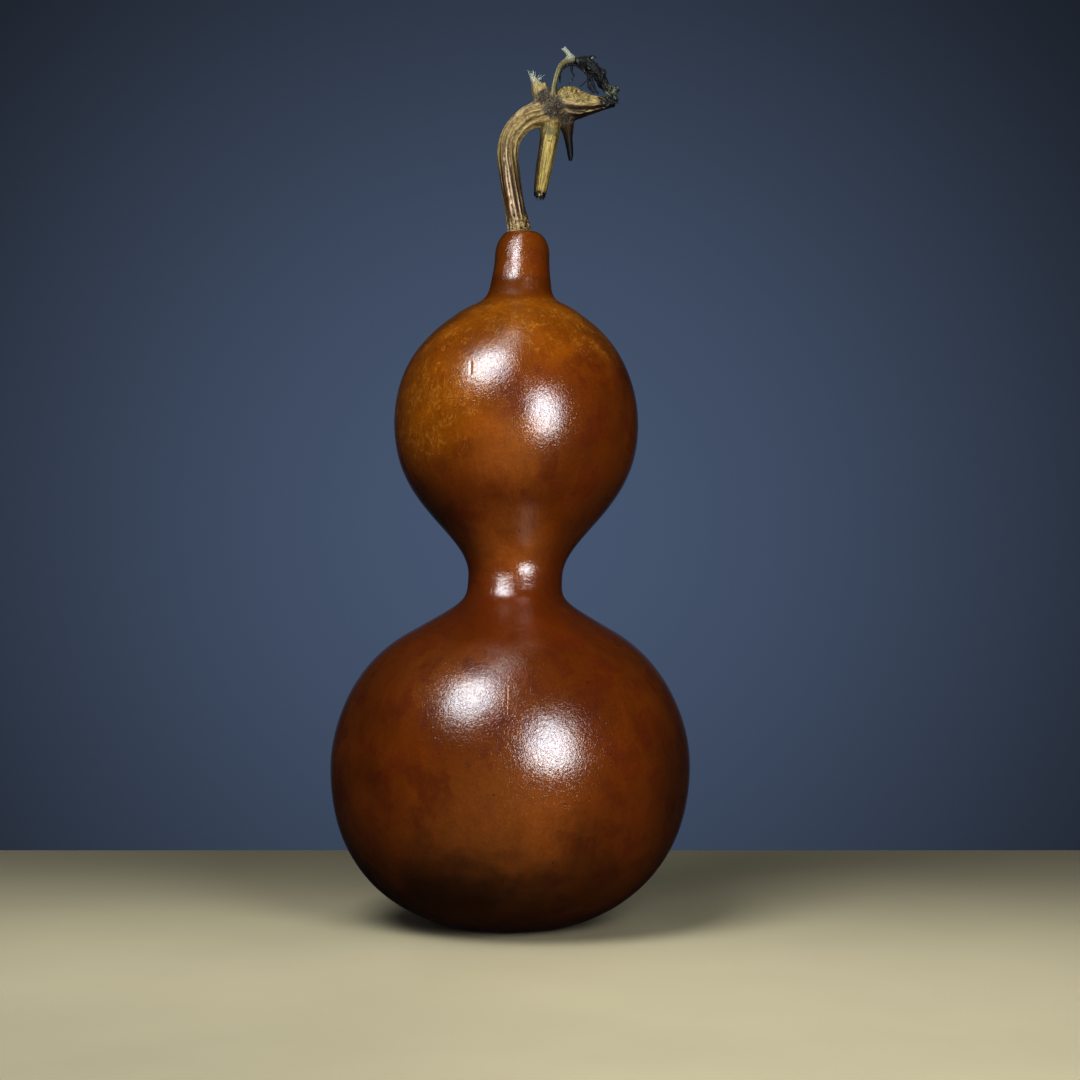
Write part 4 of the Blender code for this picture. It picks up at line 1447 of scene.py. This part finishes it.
def soft_light(name, settings):
    """A round or oval soft light that faces the gourd and isn't seen itself."""
    place, radius, power, share, spread, tall, in_gloss = LIGHTS[name]
    light = bpy.data.lights.new(name, "AREA")
    light.shape = "ELLIPSE"
    light.size = 2.0 * radius * MM
    light.size_y = light.size * tall
    light.energy = getattr(settings, power) * share
    light.spread = math.radians(spread)
    light.color = LIGHT_TINT
    item = bpy.data.objects.new(name, light)
    item.location = Vector(place) * MM
    aim = (Vector(LIGHT_AIM) - Vector(place)).normalized()
    item.rotation_euler = aim.to_track_quat("-Z", "Y").to_euler()
    item.visible_camera = False
    item.visible_glossy = in_gloss
    bpy.context.scene.collection.objects.link(item)
    return item


def pale_floor(settings):
    """A plain pale table top with a soft edge, level with the gourd's base, its colour darkened towards the
    back and the front as painted light falloff.
    """
    floor = bmesh.new()
    bmesh.ops.create_cube(floor, size=1.0)
    for vertex in floor.verts:
        across, deep, high = vertex.co
        vertex.co = (across * FLOOR_SIZE[0], FLOOR_BACK + (deep - 0.5) * FLOOR_SIZE[1],
                     (high - 0.5) * FLOOR_SIZE[2])
    mesh = bpy.data.meshes.new("floor")
    floor.to_mesh(mesh)
    floor.free()
    item = new_object("floor", mesh)
    bevel = item.modifiers.new("soft_edge", "BEVEL")
    bevel.width = FLOOR_EDGE
    bevel.segments = 4
    material, nodes, shader = new_material("pale_floor", 1.0)
    tone = [part * 0.94 for part in settings.floor]
    mottle = nodes.ease(nodes.noise(9.0, 3.0, 0.6), 0.3, 0.7)
    deep = nodes.parts(nodes.place)[1]
    # Painted light falloff: the floor darker towards the back and towards its front edge.
    painted_light_falloff = nodes.times(nodes.ease(deep, -0.12, FLOOR_BACK, 1.0, 0.42),
                      nodes.ease(deep, -0.20, 0.02, 0.76, 1.02))
    nodes.feed(shader["Base Color"], nodes.shaded(nodes.blend(mottle, tone, settings.floor), painted_light_falloff))
    shader["Roughness"].default_value = 0.7
    mesh.materials.append(material)
    item.visible_glossy = False
    return item


def dim_studio(settings):
    """Dim surroundings with a soft slate blue glow behind the object."""
    world = bpy.data.worlds.new("dim_studio")
    world.use_nodes = True
    nodes = Nodes(world.node_tree, "Generated", 1.0)
    rising = nodes.parts(nodes.place)[2]
    glow = nodes.times(nodes.near((-0.01, 1.0, 0.01), 0.0, 0.43), nodes.ease(rising, -0.30, -0.15))
    colour = nodes.blend(nodes.near((0.0, -1.0, 0.0), 0.1, 0.9), settings.surround, settings.room)
    colour = nodes.blend(glow, colour, settings.backdrop)
    nodes.feed(nodes.tree.nodes["Background"].inputs["Color"], colour)
    return world


class GOURD_OT_stage(bpy.types.Operator):
    """Set up the pale floor, the soft lights and the camera"""

    bl_idname = "gourd.stage"
    bl_label = "Stage"

    def execute(self, context):
        settings = context.scene.stage_settings
        scene = context.scene
        pale_floor(settings)
        for name in LIGHTS:
            soft_light(name, settings)
        scene.world = dim_studio(settings)
        scene.view_settings.view_transform = "Standard"
        scene.view_settings.gamma = settings.contrast
        camera = bpy.data.cameras.new("camera")
        camera.sensor_width = SENSOR
        camera.lens = settings.focal_pixels * SENSOR / FRAME_PIXELS
        camera.clip_start = 0.01
        item = bpy.data.objects.new("camera", camera)
        item.location = (settings.camera_aside, -settings.camera_distance, settings.camera_height)
        item.rotation_euler = (math.pi / 2.0, 0.0, 0.0)
        scene.collection.objects.link(item)
        scene.camera = item
        return {"FINISHED"}


class VIEW3D_PT_gourd(bpy.types.Panel):
    """Sizes, colours and steps of the gourd"""

    bl_label = "Dried bottle gourd"
    bl_space_type = "VIEW_3D"
    bl_region_type = "UI"
    bl_category = "Gourd"

    def draw(self, context):
        for operator, group in STEPS:
            box = self.layout.box()
            box.operator(operator.bl_idname)
            settings = getattr(context.scene, group)
            for name in settings.bl_rna.properties.keys():
                if name not in ("rna_type", "name"):
                    box.prop(settings, name)


GROUPS = {
    "gourd_settings": GourdSettings,
    "stem_settings": StemSettings,
    "tendril_settings": TendrilSettings,
    "stage_settings": StageSettings,
}
STEPS = (
    (GOURD_OT_body, "gourd_settings"),
    (GOURD_OT_stem, "stem_settings"),
    (GOURD_OT_fibres, "stem_settings"),
    (GOURD_OT_tendril, "tendril_settings"),
    (GOURD_OT_stage, "stage_settings"),
)
CLASSES = (*GROUPS.values(), *(operator for operator, _ in STEPS), VIEW3D_PT_gourd)


def register():
    """Register the settings, the steps and the panel."""
    for item in CLASSES:
        bpy.utils.register_class(item)
    for name, group in GROUPS.items():
        setattr(bpy.types.Scene, name, PointerProperty(type=group))


def unregister():
    """Remove the settings, the steps and the panel."""
    for name in GROUPS:
        delattr(bpy.types.Scene, name)
    for item in reversed(CLASSES):
        bpy.utils.unregister_class(item)


def main():
    """Build every piece in order."""
    register()
    for step in (bpy.ops.gourd.body, bpy.ops.gourd.stem, bpy.ops.gourd.fibres,
                 bpy.ops.gourd.tendril, bpy.ops.gourd.stage):
        step()


if __name__ == "__main__":
    main()
